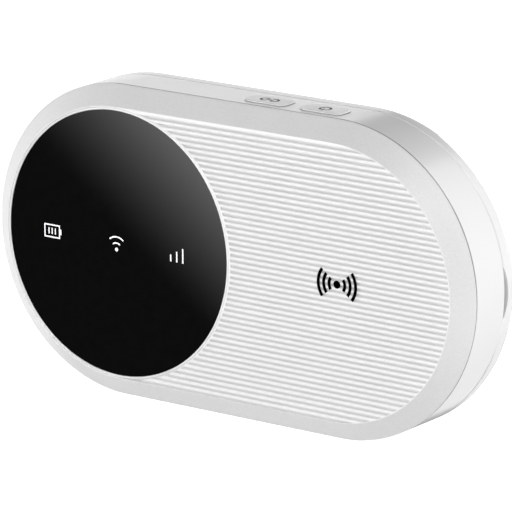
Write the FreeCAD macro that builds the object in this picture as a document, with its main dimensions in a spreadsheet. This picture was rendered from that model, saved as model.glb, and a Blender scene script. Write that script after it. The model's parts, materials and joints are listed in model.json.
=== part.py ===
"""Pocket mobile hotspot: a race-track shaped case standing on its long edge.

Sizes are millimetres. Each sub-part is drawn in the case's own terms: x runs along the case, depth
runs back from the front face, and rise runs up from the long centre line. The placement of each
sub-part then puts the origin under the middle of the case, with +Z up and the front facing -Y.
"""

import FreeCAD, Part
import math
import os
import re

import Sketcher

doc = FreeCAD.newDocument("MobileHotspot")
sheet = doc.addObject("Spreadsheet::Sheet", "Sizes")
nodes = []

SIZES = [
    # case outline
    ("half_straight", 24.4, "half of the straight run between the two round ends"),
    ("end_radius", 30.0, "radius of the round ends, half the height of the case"),
    ("case_depth", 16.2, "front face to back face"),
    # front cover
    ("bevel_width", 3.8, "width of the bevel round the face, seen from the front"),
    ("bevel_depth", 2.78, "how far back the bevel runs"),
    ("edge_land", 0.22, "straight edge behind the bevel"),
    ("face_round", 0.3, "rounding where face and bevel meet"),
    ("floor_front", 1.2, "depth of the seat behind the lens"),
    ("floor_back", 2.4, "depth of the back of the front cover's floor"),
    ("lip_reach", 0.6, "how far the locating lip enters the middle frame"),
    ("lip_wall", 1.0, "thickness of the locating lip"),
    # ribs
    ("rib_pitch", 1.0635, "spacing of the grooves in the face"),
    ("rib_margin", 0.6, "least distance from the outer grooves to the bevel"),
    ("groove_shift", -0.27, "rise of the middle groove"),
    ("groove_width", 0.44, "width of a groove at the face"),
    ("groove_floor", 0.2, "width of a groove at its floor"),
    ("groove_deep", 0.24, "depth of a groove"),
    # round lens and its ring
    ("lens_margin", 0.72, "from the edge of the face to the edge of the lens"),
    ("lens_sunk", 0.1, "how far the lens lies behind the face"),
    ("lens_thick", 1.0, "thickness of the lens"),
    ("ring_width", 0.45, "width of the ring round the lens"),
    ("fit_gap", 0.05, "gap between pieces that are fitted together"),
    ("overlap", 0.1, "how far cutting shapes pass the faces they cut"),
    ("inlay", 0.2, "thickness of an inlaid symbol"),
    # emblem on the face
    ("emblem_end", 24.6, "from the middle of the emblem to the face's right end"),
    ("emblem_dot", 0.75, "radius of the emblem's dot"),
    ("emblem_first", 1.75, "radius of the emblem's inner waves"),
    ("emblem_step", 1.2, "spacing of the emblem's waves"),
    ("emblem_stroke", 0.62, "stroke of the emblem's waves"),
    ("emblem_sweep", 76.0, "how much of a circle an emblem wave spans, in degrees"),
    # symbols on the lens
    ("icon_line", 0.26, "stroke of the battery symbol"),
    ("icon_set", -15.5, "from the middle of the lens to the middle of the battery symbol"),
    ("icon_rise", 0.14, "rise of the battery symbol's middle"),
    ("icon_long", 3.76, "length of the battery symbol without its nub"),
    ("icon_tall", 2.62, "height of the battery symbol"),
    ("icon_bar_pitch", 0.76, "spacing of the bars in the battery symbol"),
    ("icon_bar_tall", 1.2, "height of the bars in the battery symbol"),
    ("nub_long", 0.32, "length of the battery symbol's nub"),
    ("nub_tall", 1.1, "height of the battery symbol's nub"),
    ("wave_set", -0.15, "from the middle of the lens to the middle of the wireless symbol"),
    ("wave_base", -1.15, "rise of the wireless symbol's dot"),
    ("wave_dot", 0.36, "radius of the wireless symbol's dot"),
    ("wave_first", 1.26, "radius of the wireless symbol's lower wave"),
    ("wave_step", 1.19, "spacing of the wireless symbol's waves"),
    ("wave_stroke", 0.28, "stroke of the wireless symbol's waves"),
    ("wave_sweep", 82.0, "how much of a circle a wireless wave spans, in degrees"),
    ("signal_set", 12.42, "from the middle of the lens to the first signal bar"),
    ("signal_pitch", 1.4, "spacing of the signal bars"),
    ("signal_width", 0.3, "width of a signal bar"),
    ("signal_base", -1.5, "rise of the foot of the signal bars"),
    ("signal_first", 1.32, "height of the first signal bar"),
    ("signal_step", 0.74, "how much taller each signal bar is than the last"),
    # light guides and their lamps
    ("guide_margin", 0.4, "how far a light guide passes its symbol"),
    ("guide_flange", 0.6, "thickness and reach of a light guide's flange"),
    ("led_long", 1.6, "length of a status lamp"),
    ("led_tall", 0.8, "height of a status lamp"),
    ("led_thick", 0.6, "thickness of a status lamp"),
    ("led_apart", 2.4, "spacing of the two lamps behind a guide"),
    # side walls
    ("side_wall", 1.6, "wall of the middle frame"),
    ("rear_depth", 4.1, "from the rear joint to the back face"),
    ("joint_gap", 0.1, "visible gap at the rear joint"),
    ("edge_break", 0.2, "bevel that breaks the outer edges at the joints"),
    ("ledge_set", 0.7, "from the back of the frame's inner ledge to the rear joint"),
    ("ledge_thick", 0.8, "thickness of the inner ledge"),
    ("ledge_width", 2.4, "how far the ledge stands in from the wall"),
    # rear cover
    ("cover_wall", 1.5, "side wall of the rear cover"),
    ("back_wall", 1.4, "back wall of the rear cover"),
    ("back_round", 2.1, "rounding of the back edge"),
    ("hook_width", 5.0, "width of a snap tab"),
    ("hook_thick", 0.9, "thickness of a snap tab"),
    ("hook_gap", 0.25, "gap between a snap tab and the middle frame"),
    ("hook_inset", 6.4, "from the end of the straight run to the outer straight snap tabs"),
    ("hook_angle", 42.0, "how far round the end a snap tab sits, in degrees"),
    ("notch_chord", 10.2, "length of the pry notch"),
    ("notch_deep", 1.05, "depth of the pry notch along the case"),
    ("notch_cut", 1.7, "how far the pry notch cuts in, past the cover's wall"),
    # board
    ("board_front", 4.2, "depth of the front of the circuit board"),
    ("board_thick", 0.8, "thickness of the circuit board"),
    ("board_gap", 2.0, "gap between board edge and middle frame"),
    # chassis
    ("deck_thick", 1.0, "thickness of the chassis deck"),
    ("deck_gap", 1.4, "gap between deck edge and middle frame"),
    ("bay_lift", 2.0, "gap between the board and the battery bay's floor"),
    ("bay_wall", 1.0, "wall and floor of the battery bay"),
    ("bay_rim", 0.8, "how far the bay's rim stands behind the deck"),
    ("bay_clear", 3.0, "gap between the bay's wall and the frame's ledge"),
    ("scoop_radius", 7.0, "radius of the finger scoop at the bay's right end"),
    ("scoop_set", 2.0, "from the bay's right end to the middle of the finger scoop"),
    ("window_end", 1.4, "gap between the bay floor's opening and the ends of the card's path"),
    ("window_side", 3.0, "gap between the bay floor's opening and the card's long sides"),
    # battery
    ("battery_start", 0.9, "from the left end of the straight run to the battery"),
    ("battery_past", 10.1, "how far the battery passes the right end of the straight run"),
    ("battery_gap", 0.5, "gap between battery and bay wall"),
    ("battery_lift", 0.2, "gap between battery and bay floor"),
    ("battery_cover_gap", 1.0, "gap between battery and rear cover"),
    ("label_thick", 0.08, "thickness of labels and of the card's pads"),
    ("label_gap", 6.6, "from the end of the card's path to the rating label"),
    ("label_half", 14.0, "half the height of the rating label"),
    ("wrap_start", 6.0, "from the battery's left side to its wrap"),
    ("wrap_edge", 1.5, "least edge of the battery left bare round its wrap"),
    # battery contacts
    ("contact_rise", 10.5, "rise of the lowest battery blade"),
    ("contact_pitch", 2.4, "spacing of the battery blades"),
    ("contact_edge", 1.5, "room in the bay's wall beside the outer blades"),
    ("connector_edge", 2.2, "from the outer blades to the ends of the battery connector"),
    ("connector_long", 3.9, "length of the battery connector along the case"),
    ("connector_gap", 0.1, "gap between the battery connector and the bay's wall"),
    ("blade_set", 1.4, "from the bay's floor to the blades"),
    ("blade_wide", 0.8, "width of a blade, front to back"),
    ("blade_thick", 0.6, "thickness of a blade"),
    ("blade_root", 2.4, "how far a blade stands in the battery connector"),
    ("blade_gap", 0.15, "gap beside a blade in the battery connector"),
    ("pad_thick", 0.3, "thickness of a battery terminal and of a blade's foot"),
    ("pad_tall", 1.2, "height of a battery terminal"),
    ("pad_margin", 0.2, "how far a contact pad passes what touches it"),
    # screws
    ("screw_past", 15.1, "how far the screws lie past the ends of the straight run"),
    ("screw_rise", 15.0, "distance of the screws above and below the centre line"),
    ("shank_radius", 0.72, "radius of a screw's pilot hole"),
    ("thread_gap", 0.02, "gap round a screw's shank in its pilot hole"),
    ("bore_radius", 0.9, "radius of the holes that a screw passes through"),
    ("screw_end", 0.2, "from a screw's tip to the floor of its pilot hole"),
    ("head_gap", 0.3, "gap round a screw's head in its well"),
    ("drive_radius", 0.6, "radius of the recess in a screw's head"),
    ("drive_deep", 0.5, "depth of the recess in a screw's head"),
    ("head_radius", 1.4, "radius of a screw's head"),
    ("head_thick", 0.8, "thickness of a screw's head"),
    ("post_radius", 2.5, "radius of a screw post"),
    ("screw_seat", 3.0, "from the board's back to the seat under a screw's head"),
    ("pilot_floor", 0.2, "material left under a screw's pilot hole, over the cover's floor"),
    # keys in the upper wall
    ("key_end_gap", 1.23, "from the power key to the end of the straight run"),
    ("key_between", 3.37, "space between the two keys"),
    ("key_long", 9.1, "length of a key"),
    ("key_set", 0.16, "from the locating lip to a key's flange"),
    ("relief_gap", 1.0, "how far the ledge is cut away beside the keys' flanges"),
    ("key_wide", 4.4, "width of a key, front to back"),
    ("key_corner", 1.1, "corner radius of a key"),
    ("key_proud", 0.35, "how far a key stands above the wall"),
    ("key_round", 0.25, "rounding of a key's top edge"),
    ("key_gap", 0.14, "gap round a key"),
    ("key_travel", 0.3, "how far a key can be pressed"),
    ("flange_edge", 0.8, "how far a key's flange passes its opening"),
    ("flange_thick", 0.8, "thickness of a key's flange"),
    ("flange_gap", 0.1, "gap between flange and wall"),
    ("symbol_stroke", 0.46, "stroke of the symbols on the keys"),
    ("power_ring", 1.02, "radius of the ring on the power key"),
    ("link_ring", 0.8, "radius of the links on the pairing key"),
    ("link_apart", 1.05, "from the middle of the pairing key to the middle of a link"),
    ("switch_long", 3.6, "length of a key's switch"),
    ("switch_thick", 1.7, "thickness of a key's switch, on the board"),
    ("switch_tall", 3.4, "height of a key's switch"),
    ("switch_inset", 0.2, "from the board's edge to the top of a switch"),
    ("plunger_radius", 0.6, "radius of a switch's plunger"),
    ("plunger_sunk", 0.6, "how far the plunger reaches into its switch at rest"),
    # charging port
    ("port_wide", 8.94, "width of the port's shell, a USB-C receptacle"),
    ("port_thick", 3.26, "thickness of the port's shell"),
    ("port_offset", 0.8, "depth of the middle of the port behind the middle of the board"),
    ("port_long", 7.6, "length of the port's shell"),
    ("port_sunk", 0.3, "how far the port's mouth lies inside the outer wall"),
    ("port_wall", 0.3, "wall of the port's shell"),
    ("port_gap", 0.2, "gap between the port's shell and its hole"),
    ("tongue_thick", 0.7, "thickness of the port's tongue"),
    ("tongue_wide", 6.7, "width of the port's tongue"),
    ("tongue_sunk", 0.7, "from the port's mouth to the tip of its tongue"),
    ("pin_start", 1.2, "from the port's mouth to the start of its contacts"),
    ("pin_end", 5.6, "from the port's mouth to the end of its contacts"),
    ("pin_pitch", 0.5, "spacing of the port's contacts"),
    ("pin_wide", 0.25, "width of a port contact"),
    ("pin_thick", 0.1, "thickness of a port contact"),
    # card
    ("card_long", 15.0, "length of the SIM card"),
    ("card_tall", 12.0, "height of the SIM card"),
    ("card_thick", 0.76, "thickness of the SIM card"),
    ("card_inset", 3.9, "from the battery's left side to the SIM card"),
    ("card_lift", 0.75, "gap between the board and the SIM card"),
    ("card_travel", 10.0, "how far the SIM card slides out of its socket"),
    ("card_showing", 1.0, "how much of the card stands out of its socket"),
    ("socket_margin", 0.5, "from the card to the outside of its socket"),
    ("socket_window_start", 3.0, "from the left of the card to the window in its socket"),
    ("socket_window_end", 9.75, "from the left of the card to the far side of that window"),
    ("socket_window_half", 2.4, "half the height of that window"),
    ("spring_left", 2.6, "from the card's left side to the first contact springs"),
    ("spring_apart", 7.6, "spacing of the two columns of contact springs"),
    ("spring_pitch", 2.5, "spacing of the three rows of contact springs"),
    ("spring_long", 1.6, "length of a contact spring"),
    ("spring_wide", 0.6, "width of a contact spring"),
    ("card_pad_wide", 1.6, "width of a contact pad on the card"),
    ("sheet_metal", 0.2, "thickness of the card socket and the shields"),
    # electronics
    ("can_tall", 1.6, "height of a shield can"),
    ("chip_tall", 0.9, "height of a chip"),
    ("radio_inset", 12.4, "from the end of the straight run to the radio shields' left side"),
    ("modem_low", -21.5, "rise of the lower edge of the modem's shield"),
    ("modem_long", 22.0, "length of the modem's shield"),
    ("modem_tall", 14.0, "height of the modem's shield"),
    ("wireless_low", 7.5, "rise of the lower edge of the wireless shield"),
    ("wireless_long", 15.0, "length of the wireless shield"),
    ("wireless_tall", 13.0, "height of the wireless shield"),
    ("power_inset", 4.4, "from the end of the straight run to the power shield"),
    ("power_low", -21.0, "rise of the lower edge of the power shield"),
    ("power_long", 16.0, "length of the power shield"),
    ("power_tall", 10.0, "height of the power shield"),
    ("modem_chip_inset", 2.0, "from the corner of its shield to the modem chip"),
    ("modem_chip_side", 11.0, "side of the modem chip"),
    ("memory_inset", 14.5, "from the left of the modem's shield to the memory chip"),
    ("memory_lift", 2.5, "from the bottom of the modem's shield to the memory chip"),
    ("memory_long", 6.0, "length of the memory chip"),
    ("memory_tall", 9.0, "height of the memory chip"),
    ("thermal_inset", 1.0, "from the edge of the modem chip to the thermal pad"),
    ("wireless_chip_inset", 3.0, "from the left of its shield to the wireless chip"),
    ("wireless_chip_side", 7.0, "side of the wireless chip"),
    ("power_chip_inset", 3.0, "from the left of its shield to the power chip"),
    ("power_chip_side", 6.0, "side of the power chip"),
    ("passive_past", 21.6, "how far the small parts begin past the straight run"),
    ("passive_pitch", 2.1, "spacing of the small parts"),
    ("passive_long", 1.0, "length of a small part"),
    ("passive_thick", 0.5, "thickness of a small part"),
    ("passive_upper", 6.0, "rise of the upper row of small parts"),
    ("passive_lower", -8.0, "rise of the lower row of small parts"),
    ("carrier_tall", 1.8, "height of an antenna carrier"),
    ("trace_thick", 0.1, "thickness of an antenna trace"),
    ("trace_wide", 0.4, "width of an antenna trace"),
    ("trace_edge", 0.4, "from an antenna trace to the edge of its carrier"),
    ("main_antenna_inset", 13.6, "from the middle of the right end to the main antenna"),
    ("main_antenna_long", 8.5, "length of the main antenna's carrier"),
    ("main_antenna_tall", 22.0, "height of the main antenna's carrier"),
    ("wireless_antenna_inset", 12.6, "from the middle of the left end to the far side of its antenna"),
    ("wireless_antenna_low", -21.5, "rise of the lower edge of the wireless antenna"),
    ("wireless_antenna_long", 10.0, "length of the wireless antenna's carrier"),
    ("wireless_antenna_tall", 4.5, "height of the wireless antenna's carrier"),
]

# Sizes that follow from the ones above, by name.
DERIVED = {
    "inner_radius": "end_radius - side_wall",
    "face_radius": "end_radius - bevel_width",
    "cover_back": "bevel_depth + edge_land",
    "frame_back": "case_depth - rear_depth",
    "lip_outer": "inner_radius - fit_gap",
    "groove_count": "1 + floor(2 * (face_radius - rib_margin) / rib_pitch)",
    "groove_top": "groove_shift + rib_pitch * (groove_count - 1) / 2",
    "lens_radius": "face_radius - lens_margin",
    "lens_back": "lens_sunk + lens_thick",
    "ring_outer": "lens_radius + fit_gap + ring_width",
    "emblem_x": "half_straight + face_radius - emblem_end",
    "icon_middle": "icon_set - half_straight",
    "icon_left": "icon_middle - icon_long / 2",
    "icon_right": "icon_middle + icon_long / 2",
    "icon_low": "icon_rise - icon_tall / 2",
    "icon_top": "icon_rise + icon_tall / 2",
    "wave_x": "wave_set - half_straight",
    "wave_reach": "wave_first + wave_step + wave_stroke / 2",
    "signal_left": "signal_set - half_straight",
    "board_radius": "inner_radius - board_gap",
    "board_back": "board_front + board_thick",
    "ledge_back": "frame_back - ledge_set",
    "ledge_front": "ledge_back - ledge_thick",
    "ledge_radius": "inner_radius - ledge_width",
    "deck_back": "ledge_back + deck_thick",
    "floor_lift": "board_back + bay_lift",
    "bay_front": "floor_lift + bay_wall",
    "bay_back": "deck_back + bay_rim",
    "battery_left": "battery_start - half_straight",
    "battery_right": "half_straight + battery_past",
    "battery_half": "ledge_radius - bay_clear - bay_wall - battery_gap",
    "battery_front": "bay_front + battery_lift",
    "battery_back": "case_depth - back_wall - battery_cover_gap",
    "bay_left": "battery_left - battery_gap",
    "bay_right": "battery_right + battery_gap",
    "bay_half": "battery_half + battery_gap",
    "screw_x": "half_straight + screw_past",
    "seat_depth": "board_back + screw_seat",
    "head_back": "seat_depth + head_thick",
    "well_radius": "head_radius + head_gap",
    "shank_end": "pilot_end + screw_end",
    "drive_front": "head_back - drive_deep",
    "pilot_end": "floor_back + pilot_floor",
    "rear_front": "frame_back + joint_gap",
    "notch_radius": "(notch_chord * notch_chord / 4 + notch_deep * notch_deep) / (2 * notch_deep)",
    "tab_reach": "inner_radius - hook_gap",
    "tab_front": "ledge_back + 0.2",
    "tab_back": "case_depth - back_wall / 2",
    "end_tab_reach": "tab_reach - hook_width * hook_width / (8 * tab_reach)",
    "hook_x": "(half_straight - hook_inset)",
    "power_x": "half_straight - key_end_gap - key_long / 2",
    "pairing_x": "power_x - key_long - key_between",
    "key_depth": "cover_back + lip_reach + key_set + flange_wide / 2",
    "key_top": "end_radius + key_proud",
    "flange_low": "inner_radius - flange_gap - flange_thick",
    "flange_long": "key_long + 2 * key_gap + 2 * flange_edge",
    "flange_wide": "key_wide + 2 * key_gap + 2 * flange_edge",
    "switch_top": "board_radius - switch_inset",
    "switch_axis": "board_back + switch_thick / 2",
    "port_left": "port_sunk - half_straight - end_radius",
    "port_straight": "port_wide / 2 - port_thick / 2",
    "port_depth": "board_front + board_thick / 2 + port_offset",
    "port_end": "port_left + port_long - port_wall",
    "card_left": "battery_left + card_inset",
    "card_front": "board_back + card_lift",
    "card_back": "card_front + card_thick",
    "can_back": "board_back + can_tall",
    "contact_span": "2 * contact_pitch + blade_thick",
    "blade_front": "bay_front + blade_set",
    "connector_right": "bay_left - bay_wall - connector_gap",
    "blade_left": "connector_right - blade_root",
    "radio_left": "half_straight - radio_inset",
    "power_left": "power_inset - half_straight",
    "passive_left": "-half_straight - passive_past",
    "carrier_back": "board_back + carrier_tall",
}


def fill_sheet():
    """Put each size in its own row: value, name and meaning."""
    for row, (alias, value, meaning) in enumerate(SIZES, start=1):
        sheet.set("A%d" % row, meaning)
        sheet.set("B%d" % row, str(value))
        sheet.setAlias("B%d" % row, alias)
    doc.recompute()


ALIASES = {alias for alias, value, meaning in SIZES}


def spell_out(word):
    """A size's cell, the formula of a derived size, or the word itself."""
    name = word[0]
    if name in DERIVED:
        return "(%s)" % cell(DERIVED[name])
    return "Sizes." + name if name in ALIASES else name


def cell(formula):
    """Write a formula of size names the way the document's expressions need it."""
    return re.sub(r"[a-z][a-z_]*", spell_out, str(formula))


def number(formula):
    """The present value of a formula of size names."""
    return float(sheet.evalExpression(cell(formula)))


def bind(thing, prop, formula):
    thing.setExpression(prop, cell(formula))


# ---------------------------------------------------------------- placing

def stand_body(body):
    """Move a body from case terms to the standing frame."""
    bind(body, "Placement.Base.y", "-case_depth / 2")
    bind(body, "Placement.Base.z", "end_radius")


def stand_part(part, x, depth, rise):
    """Place a primitive at a point given in case terms."""
    bind(part, "Placement.Base.x", x)
    bind(part, "Placement.Base.y", "(%s) - case_depth / 2" % depth)
    bind(part, "Placement.Base.z", "(%s) + end_radius" % rise)


def keep(thing, label):
    """Give a finished sub-part the name of its node."""
    thing.Label = label
    nodes.append(thing)
    return thing


# ---------------------------------------------------------------- primitives

def block(name, x, depth, rise):
    """A box between two planes each way; each pair is (low, high) in case terms."""
    box = doc.addObject("Part::Box", name)
    bind(box, "Length", "(%s) - (%s)" % (x[1], x[0]))
    bind(box, "Width", "(%s) - (%s)" % (depth[1], depth[0]))
    bind(box, "Height", "(%s) - (%s)" % (rise[1], rise[0]))
    stand_part(box, x[0], depth[0], rise[0])
    return box


def disc(name, radius, x, rise, depth, sector=None):
    """A round plate or rod along the depth; a sector is (start, sweep) in degrees from +X to +Z."""
    rod = doc.addObject("Part::Cylinder", name)
    bind(rod, "Radius", radius)
    bind(rod, "Height", "(%s) - (%s)" % (depth[1], depth[0]))
    start, sweep = sector if sector else (0, 360)
    rod.Angle = sweep
    turn = FreeCAD.Rotation(FreeCAD.Vector(1, 0, 0), -90)
    spin = FreeCAD.Rotation(FreeCAD.Vector(0, 0, 1), -(start + sweep))
    rod.Placement.Rotation = turn.multiply(spin)
    stand_part(rod, x, depth[0], rise)
    return rod


def cut(name, base, tool):
    result = doc.addObject("Part::Cut", name)
    result.Base = base
    result.Tool = tool
    return result


def join(name, pieces):
    result = doc.addObject("Part::MultiFuse", name)
    result.Shapes = pieces
    return result


def group(name, pieces):
    result = doc.addObject("Part::Compound", name)
    result.Links = pieces
    return result


def arc_band(name, middle, width, x, rise, depth, sector):
    """A curved stroke: a sector of a ring."""
    outer = disc(name + "Outer", "(%s) + (%s) / 2" % (middle, width), x, rise, depth, sector)
    inner = disc(name + "Inner", "(%s) - (%s) / 2" % (middle, width), x, rise, depth)
    return cut(name, outer, inner)


# ---------------------------------------------------------------- bodies

def new_body(label):
    body = doc.addObject("PartDesign::Body", "Body_" + label)
    stand_body(body)
    return keep(body, label)


def new_sketch(body, name, plane, x="0", depth="0", rise="0"):
    """A sketch on one of the body's own planes, with its origin at a point in case terms."""
    sketch = body.newObject("Sketcher::SketchObject", name)
    base = [f for f in body.Origin.OriginFeatures if f.Role == plane + "_Plane"][0]
    sketch.AttachmentSupport = [(base, "")]
    sketch.MapMode = "FlatFace"
    offsets = {
        "XZ": (x, rise, "-(%s)" % depth),
        "XY": (x, depth, rise),
        "YZ": (depth, rise, x),
    }[plane]
    for axis, offset in zip("xyz", offsets):
        bind(sketch, "AttachmentOffset.Base." + axis, offset)
    return sketch


def dimension(sketch, kind, elements, formula):
    """Add a dimension whose value follows the sheet."""
    index = sketch.addConstraint(Sketcher.Constraint(kind, *elements, number(formula)))
    bind(sketch, "Constraints[%d]" % index, formula)


def draw_loop(sketch, corners):
    """A closed run of straight lines through the corners, each an (across, up) pair."""
    points = [FreeCAD.Vector(across, up, 0) for across, up in corners]
    for start, end in zip(points, points[1:] + points[:1]):
        sketch.addGeometry(Part.LineSegment(start, end), False)
    for line in range(len(points)):
        sketch.addConstraint(Sketcher.Constraint("Coincident", line, 2, (line + 1) % len(points), 1))


def racetrack(body, name, radius, depth):
    """The outline of the case, drawn with round ends of the given radius."""
    return draw_track(new_sketch(body, name, "XZ", depth=depth), "half_straight", radius)


def upright_track(body, name, half, radius, **centre):
    """A slot outline across the case, with its long way along the rise."""
    sketch = new_sketch(body, name, "YZ", **centre)
    turn_sketch(sketch, 90.0)
    return draw_track(sketch, half, radius)


def turn_sketch(sketch, angle):
    """Turn a sketch in its own plane."""
    rotation = FreeCAD.Rotation(FreeCAD.Vector(0, 0, 1), angle)
    sketch.AttachmentOffset = FreeCAD.Placement(sketch.AttachmentOffset.Base, rotation)


def draw_track(sketch, straight, radius):
    """Two half circles joined by two straight runs, centred on the sketch's origin."""
    r = number(radius)
    half = number(straight)
    up = FreeCAD.Vector(0, 0, 1)
    right = Part.Circle(FreeCAD.Vector(half, 0, 0), up, r)
    left = Part.Circle(FreeCAD.Vector(-half, 0, 0), up, r)
    sketch.addGeometry(Part.ArcOfCircle(right, -math.pi / 2, math.pi / 2), False)
    sketch.addGeometry(Part.ArcOfCircle(left, math.pi / 2, 3 * math.pi / 2), False)
    sketch.addGeometry(Part.LineSegment(FreeCAD.Vector(half, r, 0), FreeCAD.Vector(-half, r, 0)), False)
    sketch.addGeometry(Part.LineSegment(FreeCAD.Vector(-half, -r, 0), FreeCAD.Vector(half, -r, 0)), False)
    for first, second in ((0, 2), (2, 1), (1, 3), (3, 0)):
        sketch.addConstraint(Sketcher.Constraint("Tangent", first, 2, second, 1))
    sketch.addConstraint(Sketcher.Constraint("PointOnObject", 0, 3, -1))
    sketch.addConstraint(Sketcher.Constraint("PointOnObject", 1, 3, -1))
    sketch.addConstraint(Sketcher.Constraint("Equal", 0, 1))
    dimension(sketch, "DistanceX", (-1, 1, 0, 3), straight)
    dimension(sketch, "DistanceX", (1, 3, -1, 1), straight)
    dimension(sketch, "Radius", (0,), radius)
    return sketch


def rectangle(body, name, plane, wide, tall, **corner):
    """A rectangle drawn from its low corner."""
    sketch = new_sketch(body, name, plane, **corner)
    w = number(wide)
    t = number(tall)
    draw_loop(sketch, [(0, 0), (w, 0), (w, t), (0, t)])
    for line in range(4):
        level = "Horizontal" if line % 2 == 0 else "Vertical"
        sketch.addConstraint(Sketcher.Constraint(level, line))
    sketch.addConstraint(Sketcher.Constraint("Coincident", 0, 1, -1, 1))
    dimension(sketch, "DistanceX", (0, 1, 0, 2), wide)
    dimension(sketch, "DistanceY", (1, 1, 1, 2), tall)
    return sketch


def circle(body, name, plane, radius, **centre):
    sketch = new_sketch(body, name, plane, **centre)
    sketch.addGeometry(Part.Circle(FreeCAD.Vector(0, 0, 0), FreeCAD.Vector(0, 0, 1), number(radius)), False)
    sketch.addConstraint(Sketcher.Constraint("Coincident", 0, 3, -1, 1))
    dimension(sketch, "Radius", (0,), radius)
    return sketch


def grow(body, sketch, length, name):
    """Pad a sketch towards more depth, rise or x, whichever its plane faces."""
    pad = body.newObject("PartDesign::Pad", name)
    pad.Profile = sketch
    bind(pad, "Length", length)
    pad.Reversed = sketch.AttachmentSupport[0][0].Role == "XZ_Plane"
    return pad


def carve(body, sketch, length, name):
    """Cut a sketch away towards more depth, rise or x, whichever its plane faces."""
    pocket = body.newObject("PartDesign::Pocket", name)
    pocket.Profile = sketch
    bind(pocket, "Length", length)
    pocket.Reversed = sketch.AttachmentSupport[0][0].Role != "XZ_Plane"
    return pocket


def edges_at(feature, test):
    """Names of a feature's edges whose ends and middle all pass a test of (x, depth, rise)."""
    names = []
    for index, edge in enumerate(feature.Shape.Edges, start=1):
        middle = edge.valueAt((edge.FirstParameter + edge.LastParameter) / 2)
        points = [middle] + [vertex.Point for vertex in edge.Vertexes]
        if all(test(point.x, point.y, point.z) for point in points):
            names.append("Edge%d" % index)
    return names


def near(value, formula):
    return abs(value - number(formula)) < 1e-4


def outline_distance(x, rise):
    """How far a point lies from the line between the centres of the round ends."""
    return math.hypot(max(abs(x) - number("half_straight"), 0.0), rise)


def soften(body, feature, test, size, name, kind="PartDesign::Fillet"):
    """Round or bevel the edges that pass a test."""
    edges = edges_at(feature, test)
    result = body.newObject(kind, name)
    result.Base = (feature, edges)
    bind(result, "Radius" if kind.endswith("Fillet") else "Size", size)
    return result


# ---------------------------------------------------------------- symbols on the lens and the face

def inlay_depth(top):
    return (top, "(%s) + inlay" % top)


def battery_icon():
    """An upright-ended box with a nub on its right and three bars inside."""
    depth = inlay_depth("lens_sunk")
    outer = block("BatteryOuter", ("icon_left", "icon_right"), depth, ("icon_low", "icon_top"))
    inner_x = ("icon_left + icon_line", "icon_right - icon_line")
    inner = block("BatteryInner", inner_x, depth, ("icon_low + icon_line", "icon_top - icon_line"))
    nub_x = ("icon_right", "icon_right + nub_long")
    nub = block("BatteryNub", nub_x, depth, ("icon_rise - nub_tall / 2", "icon_rise + nub_tall / 2"))
    pieces = [join("BatteryRim", [cut("BatteryFrame", outer, inner), nub])]
    bar_rise = ("icon_rise - icon_bar_tall / 2", "icon_rise + icon_bar_tall / 2")
    for index in (-1, 0, 1):
        middle = "icon_middle + %d * icon_bar_pitch" % index
        bar_x = (middle + " - icon_line / 2", middle + " + icon_line / 2")
        pieces.append(block("BatteryBar%d" % (index + 1), bar_x, depth, bar_rise))
    return keep(group("BatteryIcon", pieces), "battery_icon")


def wireless_icon():
    """A dot with two waves above it."""
    depth = inlay_depth("lens_sunk")
    pieces = [disc("WirelessDot", "wave_dot", "wave_x", "wave_base", depth)]
    sweep = number("wave_sweep")
    for index in range(2):
        radius = "wave_first + %d * wave_step" % index
        sector = (90 - sweep / 2, sweep)
        name = "WirelessWave%d" % index
        pieces.append(arc_band(name, radius, "wave_stroke", "wave_x", "wave_base", depth, sector))
    return keep(group("WirelessIcon", pieces), "wireless_icon")


def signal_icon():
    """Three bars of growing height."""
    depth = inlay_depth("lens_sunk")
    bars = []
    for index in range(3):
        left = "signal_left + %d * signal_pitch" % index
        rise = ("signal_base", "signal_base + signal_first + %d * signal_step" % index)
        bars.append(block("SignalBar%d" % index, (left, left + " + signal_width"), depth, rise))
    return keep(group("SignalIcon", bars), "signal_icon")


def hotspot_emblem():
    """A dot with waves on both sides of it."""
    depth = inlay_depth("0")
    pieces = [disc("EmblemDot", "emblem_dot", "emblem_x", "0", depth)]
    sweep = number("emblem_sweep")
    for index in range(3):
        radius = "emblem_first + %d * emblem_step" % index
        for side, facing in (("Right", 0), ("Left", 180)):
            sector = (facing - sweep / 2, sweep)
            name = "Emblem%s%d" % (side, index)
            pieces.append(arc_band(name, radius, "emblem_stroke", "emblem_x", "0", depth, sector))
    return keep(group("HotspotEmblem", pieces), "hotspot_emblem")


# ---------------------------------------------------------------- front

# The x range and rise range of the light guide behind each symbol.
GUIDES = (
    (
        ("icon_left - guide_margin", "icon_right + nub_long + guide_margin"),
        ("icon_low - guide_margin", "icon_top + guide_margin"),
    ),
    (
        ("wave_x - wave_reach - guide_margin", "wave_x + wave_reach + guide_margin"),
        ("wave_base - wave_dot - guide_margin", "wave_base + wave_reach + guide_margin"),
    ),
    (
        ("signal_left - guide_margin", "signal_left + 2 * signal_pitch + signal_width + guide_margin"),
        ("signal_base - guide_margin", "signal_base + signal_first + 2 * signal_step + guide_margin"),
    ),
)


def screw_points():
    return [(x, rise) for x in ("-screw_x", "screw_x") for rise in ("-screw_rise", "screw_rise")]


def front_face_is_narrow(feature):
    """True where the flat front face ends at the bevel's start."""
    for face in feature.Shape.Faces:
        if near(face.CenterOfMass.y, "0"):
            return near(face.BoundBox.ZMax, "face_radius")
    return False


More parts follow.
